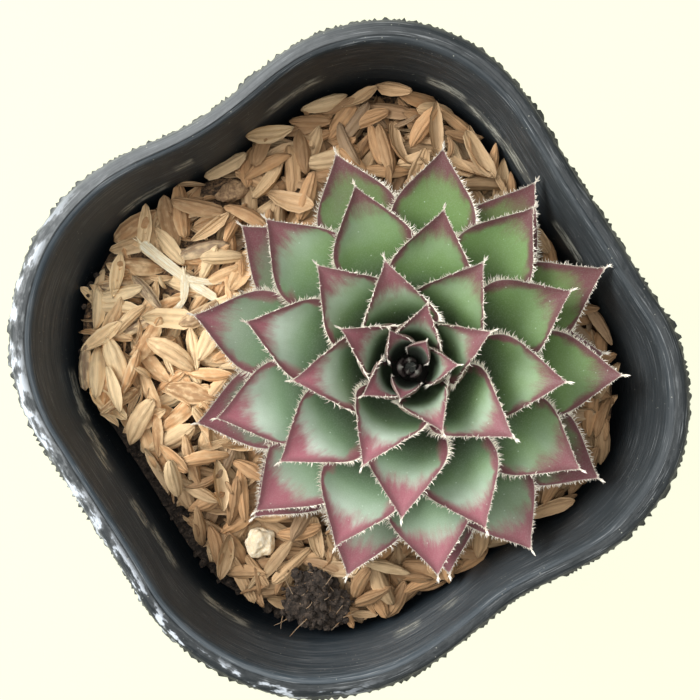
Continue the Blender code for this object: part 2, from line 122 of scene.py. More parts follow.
# Rosette: its foot on the mulch, and how far its axis leans
FOOT = (8.7, -6.6)
LEAN = math.radians(4.3)
LEAN_TOWARDS = math.radians(112)
LEAVES = 44
FIRST_TURN = math.radians(12.7)
TURN = math.radians(138.18)
TIP_RADIUS_INNER = 4.5
TIP_RADIUS_OUTER = 36.7
TIP_HEIGHT_OUTER = 7.5
TIP_HEIGHT_RISE = 17.5
LEAF_HALF_WIDTH = 6.9
LEAF_FOOT_HALF_WIDTH = 2.2
LEAF_THICKNESS = 2.1
TIP_TAPER = 10.4
TIP_SHARPNESS = 1.45
CUP = 1.5
SAG_FROM, SAG_TO = 6, 24
FLARE = 2.1
FLARE_FROM, FLARE_TO = 8, 24
CLASP = 0.78
THORN_LENGTH = 0.95
THORN_RADIUS = 0.2
LEAF_COLUMNS = 14
LEAF_ROWS = 24
BUD_LEAVES = 6
BUD_RADIUS = 2.1
BUD_HEIGHT = 6.5
BUD_COLUMNS, BUD_ROWS = 10, 16
# A young leaf's cup: share of its height, share of its radius and half its spread in degrees
BUD_STOPS = ((0, 0.25, 50), (0.3, 0.75, 60), (0.6, 1.0, 55), (0.85, 0.98, 28), (1, 0.85, 3))
HAIR_FROM, HAIR_TO = 0.22, 0.985
TUFT_HAIRS = 5

# Leaves that stray from the spiral: how far their tips lie further out, in mm, and further round, in degrees
STRAYS = {
    0: (-0.3, 11), 1: (0, -13), 2: (0, -9), 3: (0, 10), 7: (-0.5, -6), 8: (-0.5, 3), 9: (1.5, 3), 11: (1, 0),
    12: (-1, 0), 13: (-1, 6), 14: (1.5, -4), 15: (-1.5, 0), 18: (-1, 0), 19: (0.5, -5), 20: (-1, 3),
    21: (-1, 2), 22: (1, 2), 25: (0.5, 4), 27: (0.5, 3), 28: (0.5, -2), 30: (0, 3), 31: (1.5, 0),
    33: (1.5, 1), 34: (-1, 0), 35: (-0.5, 4), 36: (1.5, -1.5), 37: (-1, -3), 39: (-0.5, 0), 40: (-2.5, 2.5),
    42: (-5, 3), 43: (-1.5, 0),
}
# Leaves whose tips are turned up, where they meet the wall, or lie lower than their neighbours, in mm
LIFTS = {32: -0.4, 34: 5.0, 37: -0.8, 39: 3.0, 40: -1.6, 42: -3.0}

# Forked straw: the route and width of each stalk
STRAW_STALKS = (
    (((-17.4, 34.5), (-15.7, 29.5), (-13.8, 24.5), (-12.0, 20.5)), 2.0),
    (((-14.2, 26.5), (-16.2, 23.6), (-19.0, 22.2)), 1.5),
    (((-14.0, 25.5), (-11.6, 23.4), (-9.6, 22.4)), 1.2),
)

# The view straight down, and the way that is up in it
VIEW_TURN = math.radians(-32.5)
VIEW_UP = Vector((-math.sin(VIEW_TURN), math.cos(VIEW_TURN), 0))
VIEW_RIGHT = Vector((math.cos(VIEW_TURN), math.sin(VIEW_TURN), 0))


def tint(red, green, blue):
    """A colour as it looks on a screen, 0 to 255, in the linear values that a shader takes."""
    shares = [part / 255 for part in (red, green, blue)]
    return tuple(s / 12.92 if s <= 0.04045 else ((s + 0.055) / 1.055) ** 2.4 for s in shares)


def smoothstep(low, high, value):
    t = min(max((value - low) / (high - low), 0.0), 1.0)
    return t * t * (3 - 2 * t)


# Sizes and colours to change


def colour_property(name, part, *screen):
    """A colour of a part, given by its values on a screen, 0 to 255."""
    text = "Colour of " + part
    return bpy.props.FloatVectorProperty(
        name=name, description=text, default=tint(*screen), subtype="COLOR", size=3, min=0.0, max=1.0
    )


def length_property(name, description, millimetres):
    return bpy.props.FloatProperty(
        name=name, description=description, default=millimetres * MM, unit="LENGTH", min=0.0, precision=5
    )


def share_property(name, description, default):
    return bpy.props.FloatProperty(
        name=name, description=description, default=default, subtype="FACTOR", min=0.0, max=1.0
    )


def count_property(name, description, default):
    return bpy.props.IntProperty(name=name, description=description, default=default, min=0)


def power_property(name, description, default):
    return bpy.props.FloatProperty(name=name, description=description, default=default, unit="POWER", min=0.0)


class PotLook(bpy.types.PropertyGroup):
    plastic: colour_property("Plastic", "the clean plastic", 42, 47, 49)
    # Also the colour of painted sheen: on the lip towards the upper left, and on the lighter inner wall at
    # the left
    scuff_and_sheen: colour_property("Scuffs", "rubbed plastic and dust", 160, 164, 165)
    inner: colour_property("Inner wall", "the inside of the wall", 43, 50, 54)
    # Painted light: the inside of the wall is painted lighter and bluer at the left, as lit from there
    lit_inner_left: colour_property("Inner wall, left", "the inside of the wall at the left", 48, 61, 70)
    # Painted highlight: glints of light on the lip's outer edge at the lower left
    glint: colour_property("Glints", "the worn, shiny edge at the lower left", 222, 230, 238)
    # Painted shade: the wall down by the mulch, painted nearly black as if in shadow
    depth: colour_property("Depth", "the wall down by the mulch", 14, 20, 25)
    stain: colour_property("Water stains", "the lime that water left on the wall", 205, 205, 190)
    wear: share_property("Wear", "How much of the plastic is scuffed", 0.5)


class MulchLook(bpy.types.PropertyGroup):
    husks: count_property("Husks", "How many rice husks lie on the bed", 700)
    splinters: count_property("Splinters", "How many broken bits of husk lie between them", 420)
    husk_length: length_property("Husk length", "Length of a whole husk", 8.2)
    husk_width: length_property("Husk width", "Width of a whole husk", 2.9)
    husk_depth: length_property("Husk depth", "Depth of a whole husk", 1.9)
    cream: colour_property("Cream", "the palest husks", 255, 226, 178)
    tan: colour_property("Tan", "most husks", 226, 174, 122)
    brown: colour_property("Brown", "the darkest husks", 146, 114, 81)
    grey: colour_property("Grey", "weathered husks", 150, 137, 118)
    soil: colour_property("Soil", "damp potting soil", 40, 33, 27)


class RosetteLook(bpy.types.PropertyGroup):
    fresh: colour_property("Fresh green", "a clean leaf", 110, 143, 78)
    # Also the colour of painted sheen on the lit side of the rosette
    dull: colour_property("Grey green", "a leaf under its waxy bloom", 126, 156, 120)
    # Painted shade: leaves darken towards their feet, where the leaves above shade them
    deep_shade: colour_property("Deep green", "a leaf towards its foot", 52, 68, 44)
    # Partly painted highlight: the pale sheen beside the red tips; also the real pale specks and grain
    pale_and_sheen: colour_property("Pale", "the band beside the red margin", 224, 240, 224)
    # Wine red and dusky red: real red margins and tips, painted brighter on the lit side, and darker away
    # from it and towards the margins as painted shade
    wine: colour_property("Wine red", "margins and tips on the sunny side", 192, 110, 126)
    dusky: colour_property("Dusky red", "the other margins and of old leaves", 114, 68, 74)
    # Painted shade: the dark in the heart of the rosette
    depth: colour_property("Depth", "the feet of the innermost leaves", 24, 28, 25)
    hair: colour_property("Hairs", "the hairs on the margins", 253, 247, 232)
    hair_shade: colour_property("Shaded hairs", "the darker hairs", 226, 206, 190)
    hair_length: length_property("Hair length", "Length of a hair on a leaf's margin", 1.3)
    hair_spacing: length_property("Hair spacing", "Distance from one hair to the next", 0.12)
    hair_radius: length_property("Hair radius", "Radius of a hair at its root", 0.07)


class StageLook(bpy.types.PropertyGroup):
    floor: colour_property("Floor", "the floor", 254, 255, 229)
    overhead: power_property("Overhead light", "Strength of the large light above", 3.1)
    key: power_property("Key light", "Strength of the smaller light from one side", 4.6)
    ambient: share_property("Room light", "Strength of the light all round", 0.12)


# Shaders


class Value:
    """A number that a shader works out, which can stand in sums."""

    def __init__(self, finish, socket):
        self.finish = finish
        self.socket = socket

    def __add__(self, other):
        return self.finish.maths("ADD", self, other)

    def __sub__(self, other):
        return self.finish.maths("SUBTRACT", self, other)

    def __rsub__(self, other):
        return self.finish.maths("SUBTRACT", other, self)

    def __mul__(self, other):
        return self.finish.maths("MULTIPLY", self, other)

    def __truediv__(self, other):
        return self.finish.maths("DIVIDE", self, other)

    def __pow__(self, other):
        return self.finish.maths("POWER", self, other)

    def __abs__(self):
        return self.finish.maths("ABSOLUTE", self)

    __radd__ = __add__
    __rmul__ = __mul__

    def wrapped(self):
        """What is left of the number past a whole one."""
        return self.finish.maths("FRACT", self)

    def step(self, low, high):
        """0 up to low, 1 from high, and a smooth rise between them."""
        settings = {"interpolation_type": "SMOOTHSTEP"}
        sockets = {"Value": self, "From Min": low, "From Max": high}
        return self.finish.node("ShaderNodeMapRange", settings, sockets)


class Finish:
    """A material in the making."""

    def __init__(self, name, roughness=0.5, specular=0.5):
        self.material = bpy.data.materials.new(name)
        self.material.use_nodes = True
        self.tree = self.material.node_tree
        self.shader = self.tree.nodes["Principled BSDF"]
        self.shader.inputs["Roughness"].default_value = roughness
        self.shader.inputs["Specular IOR Level"].default_value = specular

    def set(self, socket, value):
        if isinstance(value, Value):
            self.tree.links.new(value.socket, socket)
        elif socket.type == "RGBA" and len(value) == 3:
            socket.default_value = (*value, 1.0)
        else:
            socket.default_value = value

    def node(self, kind, settings=None, sockets=None, output=0):
        """Adds a node, sets it up, gives its sockets their values or links and returns one output."""
        node = self.tree.nodes.new(kind)
        for name, value in (settings or {}).items():
            setattr(node, name, value)
        for key, value in (sockets or {}).items():
            self.set(node.inputs[key], value)
        return Value(self, node.outputs[output])

    def maths(self, operation, first, second=0.0):
        return self.node("ShaderNodeMath", {"operation": operation}, {0: first, 1: second})

    def mix(self, factor, first, second):
        """A colour between two colours."""
        settings = {"data_type": "RGBA", "clamp_factor": True}
        return self.node("ShaderNodeMix", settings, {0: factor, 6: first, 7: second}, output=2)

    def layers(self, colour, *coats):
        """A colour under coats, each given by how much it covers and its own colour."""
        for cover, over in coats:
            colour = self.mix(cover, colour, over)
        return colour

    def attribute(self, name):
        return self.node("ShaderNodeAttribute", {"attribute_name": name}, output=2)

    def place(self, scale=(1.0, 1.0, 1.0), shift=(0.0, 0.0, 0.0)):
        """Where a point is on the object, in millimetres, times a scale."""
        spot = self.node("ShaderNodeTexCoord", output=3)
        size = tuple(part / MM for part in scale)
        return self.node("ShaderNodeMapping", None, {"Vector": spot, "Location": shift, "Scale": size})

    def along(self, direction):
        """How far a point lies along a direction, in millimetres."""
        spot = self.node("ShaderNodeTexCoord", output=3)
        settings = {"operation": "DOT_PRODUCT"}
        return self.node("ShaderNodeVectorMath", settings, {0: spot, 1: tuple(direction / MM)}, output=1)

    def noise(self, spot, scale=1.0, detail=2.0, roughness=0.5, distortion=0.0):
        """Noise at a place, or at three numbers that stand for one."""
        if isinstance(spot, tuple):
            spot = self.node("ShaderNodeCombineXYZ", None, dict(enumerate(spot)))
        sockets = {"Vector": spot, "Scale": scale, "Detail": detail}
        sockets.update({"Roughness": roughness, "Distortion": distortion})
        return self.node("ShaderNodeTexNoise", None, sockets)

    def cells(self, spot, scale=1.0):
        return self.node("ShaderNodeTexVoronoi", None, {"Vector": spot, "Scale": scale})

    def bump(self, height, distance):
        """Raises the surface by height, a number about 0 to 1, times a distance in millimetres."""
        self.paint("Normal", self.node("ShaderNodeBump", None, {"Height": height, "Distance": distance * MM}))

    def paint(self, name, value):
        self.set(self.shader.inputs[name], value)


# Meshes


def deselect():
    if bpy.context.object and bpy.context.object.mode != "OBJECT":
        bpy.ops.object.mode_set(mode="OBJECT")
    bpy.ops.object.select_all(action="DESELECT")


def select_only(thing):
    deselect()
    thing.select_set(True)
    bpy.context.view_layer.objects.active = thing


def apply_modifier(thing, modifier):
    select_only(thing)
    bpy.ops.object.modifier_apply(modifier=modifier.name)


def closed_sheet(columns, rows):
    """Points and faces of a flat closed sheet: x and y from -1 to 1, z 0 on top and -1 below."""
    deselect()
    bpy.ops.mesh.primitive_grid_add(x_subdivisions=columns, y_subdivisions=rows, size=2)
    sheet = bpy.context.object
    bpy.ops.object.mode_set(mode="EDIT")
    bpy.ops.mesh.select_all(action="SELECT")
    bpy.ops.mesh.extrude_region_move(TRANSFORM_OT_translate={"value": (0, 0, -1)})
    bpy.ops.mesh.select_all(action="SELECT")
    bpy.ops.mesh.normals_make_consistent(inside=False)
    return taken_apart(sheet)


def ball(subdivisions):
    deselect()
    bpy.ops.mesh.primitive_ico_sphere_add(subdivisions=subdivisions, radius=1)
    return taken_apart(bpy.context.object)


def taken_apart(thing):
    """The points and faces of a blank, which is then removed."""
    deselect()
    points = [v.co.copy() for v in thing.data.vertices]
    faces = [tuple(f.vertices) for f in thing.data.polygons]
    bpy.data.objects.remove(thing)
    return points, faces


class Draft:
    """Points in millimetres, faces and point values that are gathered for one mesh."""

    def __init__(self, *values):
        self.points = []
        self.faces = []
        self.finishes = []
        self.values = {name: [] for name in values}

    def add(self, points, faces, finish=0, **values):
        """values give one number for each point, or one for them all."""
        start = len(self.points)
        self.points += points
        self.faces += [tuple(start + i for i in face) for face in faces]
        self.finishes += [finish] * len(faces)
        for name, numbers in self.values.items():
            given = values.get(name, 0.0)
            numbers += given if isinstance(given, list) else [given] * len(points)

    def made(self, name):
        mesh = bpy.data.meshes.new(name)
        mesh.from_pydata([Vector(p) * MM for p in self.points], [], self.faces)
        mesh.polygons.foreach_set("material_index", self.finishes)
        for value, numbers in self.values.items():
            mesh.attributes.new(value, "FLOAT", "POINT").data.foreach_set("value", numbers)
        mesh.update()
        thing = bpy.data.objects.new(name, mesh)
        bpy.context.scene.collection.objects.link(thing)
        return thing


def set_piece(thing, finishes, slot, replaced, smooth_angle=40):
    """Gives a piece its materials and shading, and ties it to the frame."""
    select_only(thing)
    bpy.ops.object.shade_smooth_by_angle(angle=math.radians(smooth_angle))
    for finish in finishes:
        thing.data.materials.append(finish.material)
    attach(thing, "root")
    for node in replaced:
        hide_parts(node)
    return thing


def polar(angle, reach=1.0, z=0.0):
    return Vector((reach * math.cos(angle), reach * math.sin(angle), z))


def circle(centre, side, up, radius, sides, flatten=1.0):
    turns = [2 * math.pi * k / sides for k in range(sides)]
    return [centre + (side * math.cos(turn) + up * flatten * math.sin(turn)) * radius for turn in turns]


def band(start, after, count):
    """Faces between two rings of points, each ring given by the number of its first point."""
    following = [(i + 1) % count for i in range(count)]
    return [(start + i, start + j, after + j, after + i) for i, j in enumerate(following)]


def tube(spine, radii, sides, flatten=1.0):
    """Points and faces of a closed tube along a spine; it ends in caps."""
    points, faces = [], []
    for i, spot in enumerate(spine):
        heading = (spine[min(i + 1, len(spine) - 1)] - spine[max(i - 1, 0)]).normalized()
        side = heading.cross(Vector((0, 0, 1)))
        side = side.normalized() if side.length > 0.05 else Vector((1, 0, 0))
        points += circle(spot, side, side.cross(heading), radii[i], sides, flatten)
    for row in range(len(spine) - 1):
        faces += band(row * sides, (row + 1) * sides, sides)
    faces += [tuple(reversed(range(sides))), tuple(range(len(points) - sides, len(points)))]
    return points, faces


def paint_node(name, finish):
    """Gives one of the frame's own nodes a material."""
    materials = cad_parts[name].data.materials
    materials.clear()
    materials.append(finish.material)


def cad_tree(names):
    """One search tree for the faces of some of the frame's nodes."""
    points, faces = [], []
    for name in names:
        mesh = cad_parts[name].data
        start = len(points)
        points += [v.co / MM for v in mesh.vertices]
        faces += [tuple(start + i for i in face.vertices) for face in mesh.polygons]
    return BVHTree.FromPolygons(points, faces)


# Pot


def pot_ring(half, z):
    """The pot's outline at one height: four round corners, and sides that are pinched in towards the lip."""
    scale = half / LIP_HALF
    ring = []
    for corner in range(4):
        radius = CORNER_RADII[corner] * scale
        start = corner * math.pi / 2
        centre = Matrix.Rotation(start, 2) @ Vector((half - radius, half - radius))
        for step in range(ARC_STEPS + 1):
            angle = start + step / ARC_STEPS * math.pi / 2
            ring.append(Vector((centre.x + radius * math.cos(angle), centre.y + radius * math.sin(angle), z)))
        side = (corner + 1) % 4
        next_radius = CORNER_RADII[side] * scale
        turn = Matrix.Rotation(side * math.pi / 2, 2)
        for step in range(1, SIDE_STEPS):
            share = step / SIDE_STEPS
            along = (1 - share) * -(half - radius) + share * (half - next_radius)
            pinched = SIDE_PINCH[side] * max(half - FOOT_HALF, 0) / (LIP_HALF - FOOT_HALF)
            spot = turn @ Vector((half - pinched * math.sin(math.pi * share) ** 2, along))
            ring.append(Vector((spot.x, spot.y, z)))
    for spot in ring:
        warp = smoothstep(30, POT_HEIGHT, z)
        wave = noise.noise(Vector((spot.x, spot.y, 0)) / 14)
        spot.z += RIM_WAVE * warp * wave
        away = Vector((spot.x, spot.y)).normalized() * RIM_WAVE * warp
        away *= noise.noise(Vector((spot.y, spot.x, 9)) / 10)
        spot.x += away.x
        spot.y += away.y
    return ring


def wall_half(z):
    """Half width of the outside of the wall."""
    top = LIP_HALF - LIP_WIDTH + WALL
    return FOOT_HALF + (top - FOOT_HALF) * z / POT_HEIGHT


def pot_section():
    """Half widths and heights along the section, from the recess under the pot round to its floor."""
    lip_under = POT_HEIGHT - LIP_THICKNESS
    inner_top = LIP_HALF - LIP_WIDTH
    section = [(RECESS_HALF, RECESS_HEIGHT), (RECESS_HALF + 0.15, 0.4), (RECESS_HALF + 0.6, 0.0)]
    section += [(wall_half(1.6) - 1.4 + 1.4 * math.sin(a), 1.6 - 1.6 * math.cos(a)) for a in QUARTER]
    section += [(wall_half(z), z) for z in (8, 16, 26, 36, 46, 56, 64, 71, 76, lip_under - 0.5)]
    section += [(wall_half(lip_under) + 0.4, lip_under), (LIP_HALF - SKIRT_THICKNESS, lip_under)]
    skirt = POT_HEIGHT - SKIRT_DEPTH
    section += [(LIP_HALF - SKIRT_THICKNESS, skirt + 0.1), (LIP_HALF - 0.5, skirt - 0.1)]
    section += [(LIP_HALF, skirt + 0.15)]
    for angle in QUARTER:
        half = LIP_HALF - LIP_ROUND * (1 - math.cos(angle))
        section.append((half, POT_HEIGHT - LIP_ROUND * (1 - math.sin(angle))))
    section += [(inner_top + 0.9, POT_HEIGHT - 0.1), (inner_top + 0.4, POT_HEIGHT - 0.22)]
    section += [(inner_top + 0.12, POT_HEIGHT - 0.4), (inner_top, POT_HEIGHT - 0.7)]
    section += [(wall_half(z) - WALL, z) for z in (79, 77.5, 75, 72, 69, 66, 63, 60, 56, 48, 38, 26, 14, 6)]
    section += [(wall_half(FLOOR + 1.6) - WALL, FLOOR + 1.6), (FOOT_HALF - 2.4, FLOOR)]
    section += [(RECESS_HALF + 0.9, FLOOR), (RECESS_HALF - 0.3, RECESS_HEIGHT + FLOOR)]
    return section


def ragged(ring):
    """Pushes the points of a ring outwards by uneven amounts, like the flash on a moulded rim."""
    rng = random.Random(5)
    for spot in ring:
        away = Vector((spot.x, spot.y, 0)).normalized()
        barb = 1.3 if rng.random() < 0.25 else rng.random() ** 1.4
        spot += away * FLASH * barb * (1 + noise.noise(spot / 9))
    return ring


def angle_round(spot):
    return math.atan2(spot[1], spot[0])


def make_pot_shell():
    """A filled circle that is drawn out ring by ring, up the outside, over the lip and down the inside."""
    section = pot_section()
    rings = [sorted(pot_ring(half, z), key=angle_round) for half, z in section]
    widest = section.index((LIP_HALF, POT_HEIGHT - LIP_ROUND))
    ragged(rings[widest])
    deselect()
    bpy.ops.mesh.primitive_circle_add(vertices=len(rings[0]), radius=RECESS_HALF, fill_type="NGON")
    pot = bpy.context.object
    pot.name = pot.data.name = "pot_shell"
    for vertex, spot in zip(sorted(pot.data.vertices, key=lambda v: angle_round(v.co)), rings[0]):
        vertex.co = spot
    bpy.ops.object.mode_set(mode="EDIT")
    bpy.ops.mesh.select_mode(type="EDGE")
    bpy.ops.mesh.select_all(action="SELECT")
    bpy.ops.mesh.region_to_loop()
    for ring in rings[1:]:
        bpy.ops.mesh.extrude_edges_move()
        work = bmesh.from_edit_mesh(pot.data)
        drawn = sorted((v for v in work.verts if v.select), key=lambda v: angle_round(v.co))
        for vertex, spot in zip(drawn, ring):
            vertex.co = spot
        bmesh.update_edit_mesh(pot.data)
    bpy.ops.mesh.edge_face_add()
    bpy.ops.mesh.select_all(action="SELECT")
    bpy.ops.mesh.normals_make_consistent(inside=False)
    bpy.ops.object.mode_set(mode="OBJECT")
    return pot


def measure_section(pot):
    """Stores how far each point is along the section, for the streaks that run round the wall."""
    section = pot_section()
    travelled = [0.0]
    for first, second in zip(section, section[1:]):
        travelled.append(travelled[-1] + math.dist(first, second))
    count = len(pot.data.vertices) // len(section)
    rise = pot.data.attributes.new("rise", "FLOAT", "POINT")
    rise.data.foreach_set("value", [travelled[i // count] for i in range(len(pot.data.vertices))])


def drill(thing, centre, radius, low, high):
    deselect()
    middle = (*centre, (low + high) / 2)
    bpy.ops.mesh.primitive_cylinder_add(vertices=40, radius=radius, depth=high - low, location=middle)
    cutter = bpy.context.object
    modifier = thing.modifiers.new("hole", "BOOLEAN")
    modifier.operation = "DIFFERENCE"
    modifier.object = cutter
    apply_modifier(thing, modifier)
    bpy.data.objects.remove(cutter)


def pot_finish(look):
    finish = Finish("pot_plastic", specular=0.2)
    rise = finish.attribute("rise")
    spot = finish.place()
    x, y, z = map(finish.along, Matrix.Identity(3))
    streaks = finish.noise((x * 0.05, y * 0.05, rise * 2.4), detail=4, roughness=0.65)
    scratches = finish.noise((x * 0.16, y * 0.16, rise * 6), detail=2)
    patches = finish.noise(spot, scale=0.09, detail=4, roughness=0.6)
    waves = finish.noise((x * 0.3, y * 0.3, rise * 0.5), detail=2)
    glints = finish.noise((x * 0.28, y * 0.28, rise * 0.7), detail=3, roughness=0.6)
    grit = finish.cells(spot, scale=1.0)
    # Painted light: 1 at the left of the pot, where the wall and lip are painted lighter
    left = finish.along(-VIEW_RIGHT * 0.75 - VIEW_UP * 0.65).step(-30, 36)
    # Where the lip's painted glints, and the painted shade between them, lie at the lower left
    lower_left = finish.along(-VIEW_RIGHT * 0.85 - VIEW_UP * 0.5).step(16, 36)
    # Painted sheen: where the lip is painted lighter, towards the upper left
    shine = finish.along(-VIEW_RIGHT * 0.9 + VIEW_UP * 0.4).step(4, 36)
    inside = rise.step(LIP_TO, LIP_TO + 0.3)
    onto_lip = rise.step(LIP_FROM, LIP_FROM + 0.5)
    lip = onto_lip * (1 - inside)
    edge = onto_lip * (1 - rise.step(LIP_TO - 1, LIP_TO + 0.2))
    height = z.step(60, 70)
    dusty = streaks.step(0.36, 0.7) * (0.5 + 0.5 * patches.step(0.3, 0.62))
    fine = scratches.step(0.58, 0.7) * patches.step(0.35, 0.6)
    specks = (1 - grit.step(0.05, 0.13)) * finish.noise(spot, scale=0.22, detail=1).step(0.5, 0.62)
    torn = finish.noise((x * 0.25, y * 0.25, rise * 1.1), detail=5, roughness=0.7).step(0.47, 0.56)
    stained = 0
    for across, along, low, reach in STAINS:
        away = ((x - across) ** 2 + (y - along) ** 2) ** 0.5
        level = abs(z - low)
        stained = stained + (1 - away.step(reach * 0.6, reach)) * (1 - level.step(0.9, 1.9))
    stained = stained * (0.2 + 0.8 * torn) * inside
    wear = look.wear
    # Real dust and scuffs, with painted light: more of them at the left of the inner wall, and a painted
    # sheen on the lip
    wear_and_sheen = inside * height * (0.1 + 0.14 * left) * (0.4 + 1.2 * dusty) + (1 - inside) * 0.1 * dusty
    wear_and_sheen = wear_and_sheen * 2 * wear + fine * height * wear + lip * (0.04 + 0.38 * shine) * (0.5 + streaks)
    colour = finish.layers(
        look.plastic,
        # Painted light: the inner wall, lighter and bluer towards the left
        (inside, finish.mix(left, look.inner, look.lit_inner_left)),
        # Real scuffs and dust, together with painted sheen and painted light
        (wear_and_sheen, look.scuff_and_sheen),
        # Painted shade: the lower inner wall, darkened nearly to black
        (inside * (1 - height) * 0.75, look.depth),
        # Painted reflection at the lower left of the lip: dark plastic between the glints, then the glints
        # themselves
        (lip * lower_left * (1 - glints.step(0.42, 0.52)) * 0.7, look.plastic),
        (edge * lower_left * glints.step(0.52, 0.6) * 0.9, look.glint),
        (stained * 0.75, look.stain),
        (specks * 0.6, look.stain),
    )
    finish.paint("Base Color", colour)
    finish.paint("Roughness", 0.42 + 0.2 * dusty + 0.3 * stained - 0.16 * lip)
    finish.bump(streaks * 0.3 + scratches * 0.15 + stained * 0.4 + waves * (0.5 + lip * 1.6), 0.2)
    return finish


class HOUSELEEK_OT_pot(bpy.types.Operator):
    """Draws the pot's wall, lip and floor and drills its drain holes"""

    bl_idname = "houseleek.pot"
    bl_label = "Pot"

    def execute(self, context):
        pot = make_pot_shell()
        measure_section(pot)
        for x, y in ((0, 0), (1, 1), (-1, 1), (-1, -1), (1, -1)):
            drill(pot, (x * HOLE_SPREAD, y * HOLE_SPREAD), HOLE_RADIUS, -1.0, 6.0)
        pot.data.transform(Matrix.Scale(MM, 4))
        set_piece(pot, [pot_finish(context.scene.houseleek_pot)], "pot_plastic", ["pot"], smooth_angle=50)
        return {"FINISHED"}


# Soil and mulch


def inside_wall(x, y, z, margin):
    """True where a point is inside the pot's wall by a margin."""
    turned = (math.atan2(y, x) + math.pi / 4) % (math.pi / 2) - math.pi / 4
    reach = math.hypot(x, y)
    half = wall_half(z) - WALL - margin
    corner = WALL_CORNER * half / LIP_HALF
    u, v = abs(reach * math.cos(turned)), abs(reach * math.sin(turned))
    over = math.hypot(max(u - (half - corner), 0), max(v - (half - corner), 0))
    return u <= half and v <= half and over <= corner


def bed_height(x, y):
    """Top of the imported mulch: level under the rosette, rippled further out, heaped by one wall."""
    away = math.hypot(x - FOOT[0], y - FOOT[1])
    back_left = smoothstep(0.2, 1.0, (Vector((-0.55, 0.83)).dot(Vector((x, y)).normalized())))
    heap = 2.2 * smoothstep(26, 44, away) * back_left
    ripple = 0.5 * noise.noise(Vector((x, y, 0)) / 9)
    return SOIL_TOP + GAP + BED_THICKNESS + heap + ripple * smoothstep(20, 34, away)


def bed_recess(angle):
    """How far the mulch has shrunk from the wall: most of all along the side at -X."""
    crevice = math.cos(angle - math.radians(CREVICE_DEGREES))
    return 0.7 + 3.6 * smoothstep(0.55, 0.95, crevice)


def inside_ring(z):
    return pot_ring(wall_half(z) - WALL - GAP, z)


def bed_rims():
    rims = []
    for spot in inside_ring(SOIL_TOP + GAP + BED_THICKNESS)[::BED_STRIDE]:
        flat = Vector((spot.x, spot.y))
        rims.append(flat * (1 - bed_recess(math.atan2(flat.y, flat.x)) / flat.length))
    return rims


def make_bed(draft):
    """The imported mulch: its outline at the foot, then rings that close in on the stem, crumbly on top."""
    rims = bed_rims()
    rings = [[(p.x * 0.975, p.y * 0.975, SOIL_TOP + GAP) for p in rims]]
    for row in range(BED_ROWS + 1):
        share = 1 - row / BED_ROWS
        ring = []
        for p in rims:
            towards = p - Vector(FOOT)
            spot = Vector(FOOT) + towards.normalized() * (STEM_EDGE + (towards.length - STEM_EDGE) * share)
            crumb = 0.7 * noise.noise(Vector((spot.x, spot.y, 4)) / 1.3)
            crumb += 0.5 * noise.noise(Vector((*spot, 2)) / 3.1)
            drop = 0.8 if row == 0 else 0.0
            ring.append((spot.x, spot.y, bed_height(*spot) + crumb - drop - 0.35))
        rings.append(ring)
    rings.append([(x, y, SOIL_TOP + GAP) for x, y, _ in rings[-1]])
    count = len(rims)
    points = [p for ring in rings for p in ring]
    faces = []
    for row in range(len(rings)):
        faces += band(row * count, (row + 1) % len(rings) * count, count)
    draft.add(points, faces, finish=1)


class Ground:
    """How high the mulch stands so far, in small square cells."""

    def __init__(self):
        self.tops = {}

    def at(self, x, y):
        key = (round(x / CELL), round(y / CELL))
        if key not in self.tops:
            self.tops[key] = bed_height(key[0] * CELL, key[1] * CELL)
        return self.tops[key]

    def raise_to(self, x, y, z):
        key = (round(x / CELL), round(y / CELL))
        self.tops[key] = max(self.at(x, y), z)


